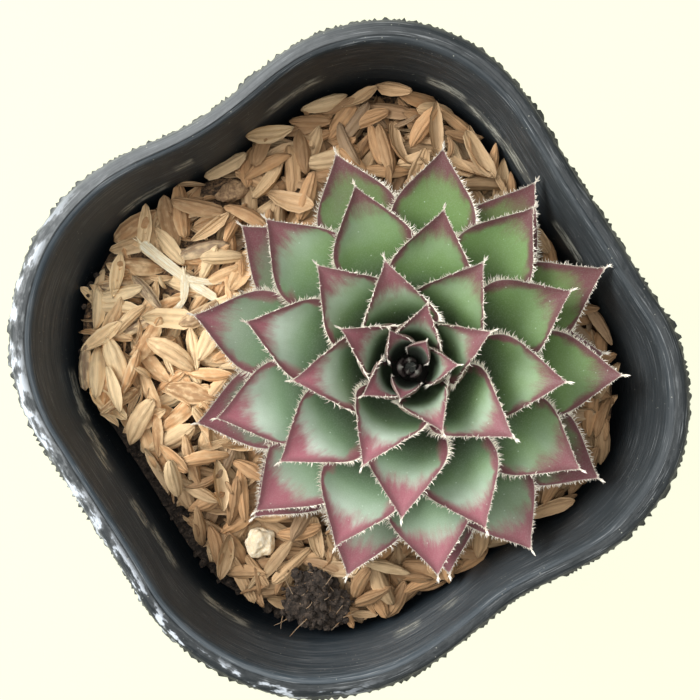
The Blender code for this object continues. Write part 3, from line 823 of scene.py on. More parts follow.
class Husk:
    """One rice husk: its size, its form and how it lies."""

    def __init__(self, rng, look, broken):
        size = rng.uniform(0.86, 1.12)
        self.length = look.husk_length / MM * size * (rng.uniform(0.3, 0.8) if broken else 1)
        self.width = look.husk_width / MM * size * rng.uniform(0.72, 1.08)
        if broken:
            self.width *= rng.uniform(0.22, 0.6)
        form = rng.random()
        self.closed = form < 0.3 and not broken
        self.upturned = not self.closed and form > 0.74
        self.depth = look.husk_depth / MM * size * (0.9 if self.closed else rng.uniform(0.45, 0.85))
        if broken:
            self.depth *= 0.4
        self.curl = rng.uniform(-0.6, 1.1)
        self.bow = rng.uniform(-0.55, 0.55)
        self.seed = rng.uniform(0, 50)
        self.blunt = rng.uniform(0.6, 1.2)
        self.tone = rng.random()
        self.twist = rng.uniform(-0.25, 0.25)

    def half_width(self, along):
        """Half the width at a place from -1, the stalk end, to 1, the beaked end."""
        fullness = max(1 - abs(along) ** (2.3 if along < 0 else 1.9), 0.0) ** (0.62 * self.blunt)
        ragged_edge = 1 + 0.3 * noise.noise(Vector((along * 2.2, self.seed, 0)))
        return self.width / 2 * max(fullness * ragged_edge, 0.07)

    def form(self, along, across, under):
        """A point of the husk about its own middle, its length along X."""
        half = self.half_width(along)
        arch = max(1 - across * across, 0.0)
        fullness = max(1 - along * along, 0.0) ** 0.7
        if self.closed:
            z = self.depth / 2 * (arch**0.55) * (0.12 + 0.88 * fullness) * (-1 if under else 1)
            z += 0.06 * self.depth * (1 - abs(across)) ** 3 * (-1 if under else 1)
        else:
            z = self.depth * (0.1 + 0.9 * fullness) * arch**0.8 - self.depth * 0.35
            z -= (0.24 if under else 0.0) * arch**0.3
            if self.upturned:
                z = -z
        z += self.curl * along * along * 0.5
        turn = self.twist * along
        y = across * half + self.bow * along * along
        sideways = y * math.cos(turn) - z * math.sin(turn)
        return Vector((along * self.length / 2, sideways, z + y * math.sin(turn)))

    def lie(self, x, y, yaw, ground, rng):
        """Lays the husk on the ground with its middle above a point, tilted with the ground under it."""
        forward = polar(yaw)
        side = Vector((-forward.y, forward.x, 0))
        middle = Vector((x, y, 0))

        def top(along, across):
            spot = middle + forward * along * self.length / 2 + side * across * self.width / 2
            return ground.at(spot.x, spot.y)

        back = max(top(-0.8, 0), top(-0.5, 0.3), top(-0.5, -0.3))
        front = max(top(0.8, 0), top(0.5, 0.3), top(0.5, -0.3))
        left, right = (top(0, 0.8) + top(0.4, 0.7)) / 2, (top(0, -0.8) + top(0.4, -0.7)) / 2
        pitch = max(min((front - back) / (1.3 * self.length / 2 * 1.2), 0.7), -0.7)
        roll = max(min((left - right) / (1.6 * self.width / 2), 0.8), -0.8) * 0.7 + rng.uniform(-0.45, 0.45)
        self.forward = (forward + Vector((0, 0, pitch))).normalized()
        self.side = (side + Vector((0, 0, roll))).normalized()
        self.up = self.forward.cross(self.side).normalized()
        self.side = self.up.cross(self.forward)
        self.middle = middle
        highest = -1e9
        for along in (-0.85, -0.45, 0, 0.45, 0.85):
            for across in (-0.7, 0, 0.7):
                spot = self.world(self.form(along, across, True))
                highest = max(highest, ground.at(spot.x, spot.y) - spot.z)
        self.middle = middle + Vector((0, 0, highest - 0.35))

    def world(self, spot):
        return self.middle + self.forward * spot.x + self.side * spot.y + self.up * spot.z

    def outline(self):
        places = [(along, across) for along in (-1, -0.5, 0, 0.5, 1) for across in (-1, 0, 1)]
        return [self.world(self.form(along, across, False)) for along, across in places]

    def weigh(self, ground):
        """Raises the ground to the husk's top."""
        rows = max(int(self.length / CELL * 1.5), 2)
        columns = max(int(self.width / CELL * 1.5), 2)
        for row in range(rows + 1):
            for column in range(columns + 1):
                along, across = 2 * row / rows - 1, 2 * column / columns - 1
                upper = self.world(self.form(along, across, False))
                under = self.world(self.form(along, across, True))
                ground.raise_to(upper.x, upper.y, max(upper.z, under.z))


def lay_husks(draft, look):
    """Drops the husks one by one where the bed is still low, clear of the wall and all above them."""
    rng = random.Random(11)
    ground = Ground()
    sheet, faces = closed_sheet(HUSK_COLUMNS, HUSK_ROWS)
    above = cad_tree([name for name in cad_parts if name.startswith("leaf_")] + list(LYING))
    laid = 0
    total = look.husks + look.splinters
    while laid < total:
        broken = (laid + 1) * look.splinters // total > laid * look.splinters // total
        spots = []
        while len(spots) < 3:
            x, y = rng.uniform(-HUSK_SPREAD, HUSK_SPREAD), rng.uniform(-HUSK_SPREAD, HUSK_SPREAD)
            away = math.hypot(x - FOOT[0], y - FOOT[1])
            if inside_wall(x, y, MULCH_LEVEL, 1.0) and away > HUSK_CLEAR_RADIUS:
                spots.append((ground.at(x, y), x, y))
        _, x, y = min(spots)
        husk = Husk(rng, look, broken)
        husk.lie(x, y, rng.uniform(0, 2 * math.pi), ground, rng)
        if not all(has_room(spot, above) for spot in husk.outline()):
            continue
        husk.weigh(ground)
        points, rib, along, inside = [], [], [], []
        for p in sheet:
            under = p.z < -0.5
            points.append(husk.world(husk.form(math.sin(p.y * math.pi / 2), p.x, under)))
            rib.append(p.x)
            along.append(p.y * husk.length / 2)
            inside.append(1.0 if under and not husk.closed else 0.0)
        pattern = float(laid % HUSK_PATTERNS)
        draft.add(points, faces, tone=husk.tone, rib=rib, along=along, inside=inside, husk=pattern)
        laid += 1


def has_room(spot, above):
    """True where a point is inside the wall and, if something hangs over it, under that."""
    recess = bed_recess(math.atan2(spot.y, spot.x))
    if not inside_wall(spot.x, spot.y, spot.z, 0.25 + 0.75 * (recess - 0.7)):
        return False
    hit = above.ray_cast(Vector((spot.x, spot.y, SOIL_TOP)), Vector((0, 0, 1)))[0]
    return hit is None or spot.z < hit.z - 0.15


def husk_finish(look):
    finish = Finish("rice_husk", specular=0.35)
    tone, rib, along, inside, husk = map(finish.attribute, HUSK_VALUES)
    spot = finish.place()
    # Painted light: husks towards the left are painted paler, and those above and below the middle darker, as
    # they are lit
    middle = abs(finish.along(VIEW_UP) - 4)
    bright = finish.along(-VIEW_RIGHT).step(4, 28) * (1 - middle.step(8, 28))
    # Each husk's random tone, raised by the painted light at the left
    shade = tone * 0.7 + 0.65 * bright + 0.25 * (finish.noise(spot, scale=0.2, detail=2) - 0.5)
    ribs = finish.maths("SINE", rib * 11.5 + husk)
    fibres = finish.noise((rib * 9, along * 0.45, husk), detail=3, roughness=0.6)
    blotches = finish.noise((rib * 1.3, along * 0.5, husk * 1.7), detail=2)
    tips = finish.noise((rib * 2.0, along * 0.9, husk * 3.1), detail=3)
    kind = (husk * 0.37).wrapped()
    flat = 1 - abs(rib).step(0.25, 0.75)
    colour = finish.layers(
        look.cream,
        # More cream towards the lit left: painted light
        ((kind - 0.12 * bright).step(0.0, 0.4), look.tan),
        (kind.step(0.66, 0.85) * 0.75, look.brown),
        (kind.step(0.9, 0.92) * 0.7, look.grey),
        # Painted shade, partly random tone: husks with a low value are darkened
        ((1 - shade.step(0.05, 0.7)) * 0.7, look.brown),
        (inside * 0.4, look.cream),
        ((1 - ribs.step(-1.0, 0.9)) * (0.06 + 0.24 * flat), look.brown),
        (fibres.step(0.45, 0.75) * (0.35 - 0.15 * bright), look.brown),
        (abs(along).step(2.6, 4.2) * 0.3, look.brown),
        (blotches.step(0.45, 0.8) * (0.6 - 0.25 * bright), look.brown),
        # Cream ridges and patches, brighter where light is painted at the left: partly painted highlight
        (abs(rib).step(0.7, 0.95) * (0.1 + 0.4 * bright), look.cream),
        (tips.step(0.42, 0.74) * (0.15 + 0.6 * bright), look.cream),
        # Painted shade: husks away from the lit left, darkened
        ((1 - bright) * 0.4, look.brown),
    )
    finish.paint("Base Color", colour)
    finish.paint("Roughness", 0.62 - 0.15 * inside + 0.2 * fibres)
    finish.bump(ribs * 0.25 + fibres * 0.6, 0.2)
    return finish


def dust_and_shade_finish(look):
    """Dust and chaff packed between the husks: partly their real colour, partly painted shade, dark so that
    the gaps read as shadow.
    """
    finish = Finish("husk_dust_and_shade", roughness=0.9)
    spot = finish.place()
    flecks = finish.noise(finish.place((1.0, 2.6, 1.0)), scale=1.1, detail=4, roughness=0.65)
    crumbs = finish.noise(spot, scale=1.6, detail=4, roughness=0.7)
    coats = ((crumbs.step(0.35, 0.7) * 0.85, look.brown), (flecks.step(0.56, 0.7) * 0.5, look.tan))
    finish.paint("Base Color", finish.layers(look.soil, *coats))
    finish.bump(crumbs * 0.6 + flecks * 0.4, 0.5)
    return finish


def soil_finish(look):
    finish = Finish("potting_soil", roughness=0.92)
    spot = finish.place()
    crumbs = finish.noise(spot, scale=1.2, detail=5, roughness=0.7)
    grains = finish.cells(spot, scale=1.7)
    fibres = finish.noise(finish.place((0.5, 3.0, 1.4)), scale=1.4, detail=3, distortion=0.8)
    dry = tuple(min(part * 4.5, 1.0) for part in look.soil)
    colour = finish.layers(
        look.soil,
        (crumbs.step(0.4, 0.7), dry),
        (fibres.step(0.66, 0.74) * 0.6, look.brown),
        ((1 - grains.step(0.03, 0.12)) * 0.5, look.tan),
    )
    finish.paint("Base Color", colour)
    finish.bump(crumbs * 0.7 + grains * 0.3, 0.6)
    return finish


def scatter_crumbs(draft):
    """Soil crumbs in the crevice by the wall, and fewer and smaller ones all along the wall."""
    rng = random.Random(23)
    points, faces = ball(1)
    rims = bed_rims()
    laid = 0
    while laid < CRUMBS:
        in_crevice = laid < CREVICE_CRUMBS
        angle = math.radians(rng.gauss(CREVICE_DEGREES, 34)) if in_crevice else rng.uniform(0, 2 * math.pi)
        rim = min(rims, key=lambda p: abs(math.remainder(math.atan2(p.y, p.x) - angle, 2 * math.pi)))
        spot = rim * (1 + rng.uniform(-0.4, 0.9) * bed_recess(angle) / rim.length)
        size = rng.uniform(0.3, 0.95) if in_crevice else rng.uniform(0.2, 0.5)
        on_bed = spot.length < rim.length
        z = (bed_height(*spot) + 0.2 if on_bed else SOIL_TOP + rng.uniform(0.0, 1.0)) + 0.3 * size
        if not inside_wall(spot.x, spot.y, z, size + 0.1):
            continue
        lump = []
        for p in points:
            knob = size * (1 + 0.55 * noise.noise(p * 1.6 + Vector((laid, 0, 0))))
            lump.append(Vector((spot.x + p.x * knob, spot.y + p.y * knob, z + p.z * knob * 0.8)))
        draft.add(lump, faces)
        laid += 1


class HOUSELEEK_OT_soil(bpy.types.Operator):
    """Paints the soil and scatters crumbs of it beside the mulch"""

    bl_idname = "houseleek.soil"
    bl_label = "Soil"

    def execute(self, context):
        finish = soil_finish(context.scene.houseleek_mulch)
        paint_node("soil", finish)
        draft = Draft()
        scatter_crumbs(draft)
        set_piece(draft.made("soil_crumbs"), [finish], "soil", [])
        return {"FINISHED"}


class HOUSELEEK_OT_mulch(bpy.types.Operator):
    """Packs the bed of mulch and drops loose rice husks on it"""

    bl_idname = "houseleek.mulch"
    bl_label = "Mulch"

    def execute(self, context):
        look = context.scene.houseleek_mulch
        draft = Draft(*HUSK_VALUES)
        make_bed(draft)
        lay_husks(draft, look)
        finishes = [husk_finish(look), dust_and_shade_finish(look)]
        set_piece(draft.made("husk_mulch"), finishes, "rice_husk", ["hull_mulch"], smooth_angle=60)
        return {"FINISHED"}


# Things that lie on the mulch

LYING = ("perlite", "pebble", "soil_clod", "straw")
# Node, seed, colour and colour of the pits
STONES = (
    ("perlite", 3, tint(255, 246, 222), tint(236, 214, 174)),
    ("pebble", 5, tint(190, 158, 118), tint(128, 100, 74)),
)
STONE_KNOBS = ((0.4, 1.0), (0.12, 0.4), (0.03, 0.14))
CLOD_KNOBS = ((0.5, 0.8), (0.35, 0.3), (0.15, 0.12))
CLOD_CRUMBS, CLOD_FIBRES = 190, 16
STRAW_SIDES, STRAW_STEPS = 14, 20
STRAW_TAN, STRAW_CREAM, STRAW_STAIN = tint(240, 218, 172), tint(255, 250, 226), tint(170, 130, 80)


def node_place(node):
    """The middle of a frame's node and half its size, in millimetres."""
    low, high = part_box(node)
    return (low + high) / 2 / MM, (high - low) / 2 / MM


def lump_points(node, detail, seed, knobs):
    """A ball that fills its node's box, with knobs given as pairs of depth and size."""
    points, faces = ball(detail)
    middle, half = node_place(node)
    shaped = []
    for p in points:
        reach = 1.0
        for depth, size in knobs:
            reach += depth * noise.noise(p / size + Vector((seed, seed * 2, 0)))
        shaped.append(p * reach)
    limits = [max(abs(p[axis]) for p in shaped) for axis in range(3)]
    return [middle + Vector([p[a] / limits[a] * half[a] for a in range(3)]) for p in shaped], faces


def stone_finish(name, colour, pit_colour, seed):
    finish = Finish(name, roughness=0.85)
    spot = finish.place((1.0, 1.0, 1.0), (seed, 0, 0))
    grain = finish.noise(spot, scale=1.6, detail=5, roughness=0.65)
    pits = finish.cells(spot, scale=1.5)
    stain = finish.noise(spot, scale=0.4, detail=2)
    mixed = finish.layers(
        pit_colour,
        (grain.step(0.35, 0.7), colour),
        ((1 - pits.step(0.1, 0.35)) * 0.5, pit_colour),
        (stain.step(0.5, 0.75) * 0.35, pit_colour),
    )
    finish.paint("Base Color", mixed)
    finish.bump(grain * 0.6 + pits * 0.3, 0.25)
    return finish


class HOUSELEEK_OT_stones(bpy.types.Operator):
    """Shapes the perlite lump and the pebble"""

    bl_idname = "houseleek.stones"
    bl_label = "Perlite and pebble"

    def execute(self, context):
        for node, seed, colour, pit_colour in STONES:
            draft = Draft()
            draft.add(*lump_points(node, 5, seed, STONE_KNOBS))
            finish = stone_finish(node, colour, pit_colour, seed)
            set_piece(draft.made(node + "_lump"), [finish], node, [node], smooth_angle=70)
        return {"FINISHED"}


class HOUSELEEK_OT_clod(bpy.types.Operator):
    """Builds the clod of soil from crumbs and root fibres"""

    bl_idname = "houseleek.clod"
    bl_label = "Soil clod"

    def execute(self, context):
        rng = random.Random(31)
        middle = node_place("soil_clod")[0]
        draft = Draft()
        points, faces = lump_points("soil_clod", 5, 8, CLOD_KNOBS)
        draft.add([middle + (p - middle) * 0.94 for p in points], faces)
        crumb, crumb_faces = ball(1)
        for _ in range(CLOD_CRUMBS):
            spot = rng.choice(points)
            size = rng.uniform(0.25, 0.75)
            away = (spot - middle).normalized() * rng.uniform(-0.3, 0.1)
            draft.add([spot + away + p * size * rng.uniform(0.75, 1.15) for p in crumb], crumb_faces)
        for _ in range(CLOD_FIBRES):
            spot = rng.choice([p for p in points if p.z > middle.z])
            heading = Vector((rng.uniform(-1, 1), rng.uniform(-1, 1), rng.uniform(-0.15, 0.3))).normalized()
            bend = Vector((rng.uniform(-1, 1), rng.uniform(-1, 1), -0.3)) * 0.7
            reach = rng.uniform(1.6, 3.6)
            spine = [spot + heading * reach * s + bend * s * s for s in (0, 0.25, 0.5, 0.75, 1)]
            draft.add(*tube(spine, [0.08, 0.08, 0.07, 0.06, 0.04], 5), finish=1)
        look = context.scene.houseleek_mulch
        fibre = stone_finish("root_fibre", look.grey, look.brown, 2)
        set_piece(draft.made("soil_clod_crumbs"), [soil_finish(look), fibre], "soil", ["soil_clod"])
        return {"FINISHED"}


def route_spot(route, share):
    """A point on a smooth curve through a route's points."""
    place = share * (len(route) - 1)
    i = min(int(place), len(route) - 2)
    t = place - i
    before, start, end, after = (Vector(route[min(max(i + k, 0), len(route) - 1)]) for k in (-1, 0, 1, 2))
    bend = (2 * before - 5 * start + 4 * end - after) * t * t + (3 * start - before - 3 * end + after) * t**3
    return start + ((end - before) * t + bend) / 2


def straw_finish():
    finish = Finish("straw", roughness=0.55)
    across, along = map(finish.attribute, STRAW_VALUES)
    fibres = finish.noise((across * 6, along * 0.3, 1.0), detail=4, roughness=0.6)
    blotch = finish.noise((across, along * 0.5, 4.0), detail=2)
    coats = ((fibres.step(0.35, 0.65), STRAW_CREAM), (blotch.step(0.55, 0.8) * 0.4, STRAW_STAIN))
    finish.paint("Base Color", finish.layers(STRAW_TAN, *coats))
    finish.bump(fibres, 0.2)
    return finish


class HOUSELEEK_OT_straw(bpy.types.Operator):
    """Shapes the forked straw with its ribs and frayed ends"""

    bl_idname = "houseleek.straw"
    bl_label = "Straw"

    def execute(self, context):
        rng = random.Random(17)
        middle = node_place("straw")[0]
        draft = Draft(*STRAW_VALUES)
        sides, steps = STRAW_SIDES, STRAW_STEPS
        for route, width in STRAW_STALKS:
            spine, radii = [], []
            for step in range(steps + 1):
                share = step / steps
                flat = route_spot(route, share)
                lift = 0.22 * math.sin(share * 5 + width) - 0.1
                spine.append(Vector((flat.x, flat.y, middle.z + lift)))
                radii.append(width / 2 * (1 - 0.35 * share) * (0.55 if step in (0, steps) else 1))
            points, faces = tube(spine, radii, sides, flatten=0.32)
            ribbed = []
            for i, p in enumerate(points):
                centre = spine[i // sides]
                ribbed.append(centre + (p - centre) * (1 + 0.09 * math.cos(i % sides * math.pi)))
            turns = [math.cos(2 * math.pi * (i % sides) / sides) for i in range(len(points))]
            reach = [(i // sides) * 0.8 for i in range(len(points))]
            draft.add(ribbed, faces, across=turns, along=reach)
            for end, inner in ((spine[-1], spine[-3]), (spine[0], spine[2])):
                for _ in range(3):
                    off = Vector([rng.uniform(-0.4, 0.4) for _ in range(3)]) * 0.8
                    heading = (end - inner).normalized() + off
                    tail = [end + heading * rng.uniform(0.5, 0.7) * s for s in (-0.6, 0.3, 1.2, 2.0)]
                    draft.add(*tube(tail, [0.2, 0.17, 0.12, 0.05], 5), across=0.3, along=2.0)
        set_piece(draft.made("straw_stalks"), [straw_finish()], "straw", ["straw"])
        return {"FINISHED"}


# Rosette

BARK, BARK_SCALE, BARK_FLAKE = tint(74, 52, 38), tint(146, 112, 80), tint(60, 44, 34)


def rosette_place():
    """From the rosette's own frame, its axis along Z and its foot at the origin, to the pot's frame."""
    tilt_axis = Vector((-math.sin(LEAN_TOWARDS), math.cos(LEAN_TOWARDS), 0))
    return Matrix.Translation((*FOOT, MULCH_LEVEL)) @ Matrix.Rotation(LEAN, 4, tilt_axis)


def leaf_foot(age):
    """Distance from the axis and height at which a leaf grows; age is 0 innermost and 1 outermost."""
    age = max(age, 0.0)
    return 1.3 + 5.5 * age**0.5, 12.5 - 11.0 * age**0.8


def leaf_tip(index):
    rise = math.exp(-((max(index, 0) / 27) ** 2))
    reach = math.exp(-((max(index, 0) / 17.6) ** 1.4))
    radius = TIP_RADIUS_OUTER - (TIP_RADIUS_OUTER - TIP_RADIUS_INNER) * reach
    return radius, TIP_HEIGHT_OUTER + TIP_HEIGHT_RISE * rise


def leaf_middle_line(index, share):
    """Where a leaf's upper side is, at share 0 its foot and 1 its tip, its normal and the leaf's length."""
    age = index / (LEAVES - 1)
    foot_radius, foot_height = leaf_foot(age)
    tip_radius, tip_height = leaf_tip(index)
    tip_radius += STRAYS.get(index, (0, 0))[0]
    run = Vector((tip_radius - foot_radius, tip_height - foot_height))
    across = Vector((run.y, -run.x)).normalized()
    sag, flare = leaf_bend(index)
    lift = LIFTS.get(index, 0)
    bow = sag * 4 * share * (1 - share) - flare * 6.75 * share**2 * (1 - share)
    spot = Vector((foot_radius, foot_height)) + run * share + across * bow
    spot.y += lift * share**5
    slant = sag * 4 * (1 - 2 * share) - flare * 6.75 * (2 * share - 3 * share**2)
    heading = run + across * slant + Vector((0, lift * 5 * share**4))
    up = Vector((-heading.y, heading.x)).normalized()
    return spot, up, run.length


def leaf_bend(index):
    """How far an old leaf sags, and how far a young one, which stands steep, flares out at its tip."""
    sag = (1.7 + 1.2 * index / (LEAVES - 1)) * smoothstep(SAG_FROM, SAG_TO, index)
    flare = FLARE * (1 - math.exp(-(max(index, 0) + 1) / 4)) * (1 - smoothstep(FLARE_FROM, FLARE_TO, index))
    return sag, flare


def leaf_size(index):
    """Young leaves in the middle are smaller."""
    return 1 - 0.5 * math.exp(-max(index, 0) / 5.5)


def leaf_half_width(index, share, length):
    full = LEAF_HALF_WIDTH * leaf_size(index)
    foot = LEAF_FOOT_HALF_WIDTH * (0.45 + 0.55 * leaf_size(index))
    taper = TIP_TAPER * (0.35 + 0.65 * leaf_size(index))
    from_tip = (1 - share) * length
    if from_tip < taper:
        return max(full * math.sin(math.pi / 2 * from_tip / taper) ** TIP_SHARPNESS, 0.12)
    back = (from_tip - taper) / (length - taper)
    return full - (full - foot) * back**1.6


def leaf_point(index, share, across, depth):
    """A point of a leaf: across is -1 to 1 between its edges, depth 0 on its upper side and 1 below."""
    spot, up, length = leaf_middle_line(index, share)
    half = leaf_half_width(index, share, length)
    size = leaf_size(index)
    bulge = math.sin(math.pi * min(share, 0.999) ** 0.9) ** 0.8
    plump = LEAF_THICKNESS * size * (1 - 0.3 * smoothstep(24, LEAVES, index))
    thick = 0.55 + (plump - 0.55) * bulge
    thick = 0.14 + (thick - 0.14) * max(1 - across * across, 0.0) ** 0.7
    cup = CUP * size * (1 - 0.5 * smoothstep(24, LEAVES, index)) * min(half / (0.6 * LEAF_HALF_WIDTH), 1)
    cup *= across * across * smoothstep(0.35, 0.8, share)
    ripple = 0.16 * noise.noise(Vector((across * half / 3.5, share * length / 5, index * 3.3))) * bulge
    rounding = 0.22 * bulge * across**8
    lifted = spot + up * (cup + ripple - rounding - depth * thick)
    turn = FIRST_TURN - TURN * index + math.radians(STRAYS.get(index, (0, 0))[1])
    angle = turn + across * min(half / spot.x, CLASP)
    return polar(angle, lifted.x, lifted.y)


def stray(rng):
    return Vector([rng.uniform(-1, 1) for _ in range(3)])


def add_hair(draft, root, heading, length, radius, bend):
    """A thin bent cone with three sides, its root sunk in the leaf."""
    side = heading.cross(Vector((0.3, 0.2, 1))).normalized()
    up = side.cross(heading)
    middle = root + heading * length * 0.5 + bend * length * 0.12
    tip = root + heading * length + bend * length * 0.4
    points = circle(root - heading * 0.12, side, up, radius, 3) + circle(middle, side, up, radius * 0.75, 3)
    draft.add([*points, tip], [(2, 1, 0), *band(0, 3, 3), (3, 4, 6), (4, 5, 6), (5, 3, 6)], finish=1)


def add_margin_hairs(draft, at, length, size, look, rng):
    """Hairs along both margins of a leaf, shorter on small ones; at(share, across) gives its points."""
    grown = smoothstep(0.5, 0.85, size)
    spacing = look.hair_spacing / MM * (3 - 2 * grown)
    for side in (-1, 1):
        share = HAIR_FROM
        while share < HAIR_TO:
            root, inner = at(share, side * 0.995), at(share, side * 0.86)
            outward = (root - inner).normalized()
            forward = (at(min(share + 0.02, 1.0), side * 0.995) - root).normalized()
            off = stray(rng) * 0.4
            heading = (outward + forward * rng.uniform(0.1, 0.7) + off).normalized()
            reach = look.hair_length / MM * rng.uniform(0.6, 1.15) * (1 - 0.5 * smoothstep(0.7, 1.0, share))
            reach *= 0.3 + 0.7 * grown
            add_hair(draft, root, heading, reach, look.hair_radius / MM * (0.5 + 0.5 * grown), forward)
            share += spacing * rng.uniform(0.6, 1.4) / length


def add_tip_tuft(draft, at, size, look, rng):
    """The hard point of a leaf and the longer hairs round it."""
    tip = at(1.0, 0.0)
    heading = (tip - at(0.93, 0.0)).normalized()
    add_hair(draft, tip, heading, THORN_LENGTH * size, THORN_RADIUS * size, Vector((0, 0, 0.5)))
    for _ in range(TUFT_HAIRS):
        turned = (heading + stray(rng) * 0.65).normalized()
        root = tip - heading * rng.uniform(0.0, 0.7)
        length = look.hair_length / MM * rng.uniform(0.35, 0.7) * size
        add_hair(draft, root, turned, length, look.hair_radius / MM * 1.2, heading)


def make_leaf(index, blank, look):
    points, faces = blank
    place = rosette_place()
    draft = Draft(*LEAF_VALUES)
    length = leaf_middle_line(index, 1.0)[2]
    size = leaf_size(index)
    shaped, edge, tip, side, under = [], [], [], [], []
    for p in points:
        share = 1 - (1 - (p.y + 1) / 2) ** 1.35
        across = math.sin(p.x * math.pi / 2) * 0.55 + p.x * 0.45
        below = 1.0 if p.z < -0.5 else 0.0
        half = leaf_half_width(index, share, length)
        shaped.append(place @ leaf_point(index, share, across, below))
        edge.append((1 - abs(across)) * half / size)
        tip.append((1 - share) * length / size)
        side.append(across * half)
        under.append(below)
    values = {"edge": edge, "tip": tip, "side": side, "under": under}
    draft.add(shaped, faces, kin=float(index * 7 % LEAVES), age=index / (LEAVES - 1), **values)
    rng = random.Random(100 + index)

    def at(share, across):
        return place @ leaf_point(index, share, across, 0.5)

    add_margin_hairs(draft, at, length, size, look, rng)
    add_tip_tuft(draft, at, size, look, rng)
    return draft.made(f"rosette_leaf_{index + 1:02d}")


def leaf_finish(name, look, heart_shade=0.0):
    """The looks of a leaf, darkened by a share of painted shade."""
    finish = Finish(name, specular=0.4)
    edge, tip, side, kin, age, under = map(finish.attribute, LEAF_VALUES)
    spot = finish.place()
    feathers = finish.noise((side * 1.3, tip * 0.24, kin * 3), detail=5, roughness=0.75)
    clouds = finish.noise((side * 0.3, tip * 0.25, kin * 5), detail=2)
    grain = finish.noise(spot, scale=5.0, detail=3, roughness=0.6)
    mood = (kin * 0.618).wrapped()
    # The side of the rosette towards the light: its leaves are painted brighter, redder and more bloomed,
    # partly real sun colour and partly painted light
    sunlit = 1 - finish.along(VIEW_UP * 0.7 + VIEW_RIGHT * 0.6).step(-20, 30)
    blush = sunlit + (1 - sunlit) * 0.45 * (1 - age.step(0.05, 0.35))
    frayed = tip + 1.2 * (1 - blush) + 5.5 * (feathers - 0.5)
    frayed = frayed + 4.0 * (clouds - 0.5) + 1.8 * (mood - 0.5)
    cap = 1 - frayed.step(3.6, 8.0)
    margin = (0.5 + 1.5 * clouds.step(0.3, 0.7)) * (1 - tip.step(8, 20) * 0.7)
    stripe = 1 - (edge + feathers - 0.5).step(margin * 0.35, margin * 1.5)
    wine = 1 - (1 - cap) * (1 - stripe)
    # Painted highlight: a pale sheen just inside the red tip
    lit = (1 - tip.step(5.5, 10 + 4 * age)) * (0.5 + 0.9 * clouds)
    # Real waxy bloom, with painted sheen where the side faces the light
    bloom_and_sheen = sunlit * 0.8 + 0.5 * (clouds - 0.3)
    # Painted shade: leaves towards the lower right are dulled as if they were old, on top of their real age
    low = finish.along(VIEW_RIGHT * 0.5 - VIEW_UP * 0.8).step(6, 24)
    old = 1 - (1 - age.step(0.5, 0.85)) * (1 - 0.6 * low)
    green = finish.layers(
        look.fresh,
        (bloom_and_sheen.step(0.1, 0.9), look.dull),
        # Painted shade towards each leaf's foot
        (tip.step(5 + 7 * age, 11 + 12 * age) * 0.9, look.deep_shade),
        # Painted highlight: the pale sheen near the tip, strongest on the lit side
        (lit * (0.05 + sunlit) * (1 - 0.7 * old), look.pale_and_sheen),
        # Darker old leaves, and those at the lower right: partly painted shade
        (old * sunlit * 0.2, look.deep_shade),
    )
    # Painted light and shade: bright wine on the lit side, dusky on the other, then dusky towards the margins
    # as shade
    red = finish.mix(sunlit * (1 - 0.5 * old), look.dusky, look.wine)
    red = finish.mix((1 - edge.step(0.2, 1.8)) * 0.5, red, look.dusky)
    dots = finish.cells(spot, scale=0.6)
    colour = finish.layers(
        green,
        (wine * 0.96, red),
        (age.step(0.6, 1.0) * clouds * (1 - tip.step(7, 14)) * 0.7, look.dusky),
        ((1 - edge.step(0.04, 0.18)) * 0.15, look.hair),
        ((1 - tip.step(0.2, 0.9)) * 0.8, look.hair),
        ((1 - dots.step(0.04, 0.09)) * 0.4, look.pale_and_sheen),
        (under * 0.25, look.dull),
        # Painted shade: the feet of the innermost leaves, deep in the heart
        ((1 - age.step(0.02, 0.14)) * tip.step(4, 8) * 0.8, look.depth),
        # Painted shade over the whole leaf, by a share
        (heart_shade, look.depth),
        (grain.step(0.4, 0.8) * 0.1, look.pale_and_sheen),
    )
    finish.paint("Base Color", colour)
    finish.paint("Roughness", 0.42 + 0.18 * grain + 0.1 * bloom_and_sheen + 0.3 * (1 - age.step(0.0, 0.1)))
    finish.bump(grain * 0.35 + feathers * 0.4, 0.12)
    return finish


def glowing_hair_finish(look):
    finish = Finish("leaf_hair", roughness=0.4)
    shade = finish.noise(finish.place(), scale=1.3, detail=1)
    colour = finish.mix(shade.step(0.45, 0.75) * 0.3, look.hair, look.hair_shade)
    finish.paint("Base Color", colour)
    # Painted light: the hairs glow faintly, as light passing through them would make them
    finish.paint("Emission Color", colour)
    finish.paint("Emission Strength", 0.12)
    finish.bump(shade, 0.02)
    return finish


def bud_leaf_point(order, share, across, depth):
    """A point of one of the closed young leaves: part of a narrow cup that leans in at its tip."""
    reach = BUD_RADIUS * (1 - 0.13 * order)
    top = BUD_HEIGHT - 0.45 * order
    turn = FIRST_TURN + TURN * (order + 1)
    base = leaf_foot(0)[1] + GAP
    for (low, radius, spread), (high, next_radius, next_spread) in zip(BUD_STOPS, BUD_STOPS[1:]):
        if share <= high:
            t = (share - low) / (high - low)
            radius += (next_radius - radius) * t
            spread += (next_spread - spread) * t
            break
    angle = turn + across * math.radians(spread)
    thick = depth * min(0.8, radius) * (0.3 + 0.7 * (1 - across * across))
    return polar(angle, radius * reach - thick - 0.25 * across**2, base + top * share)


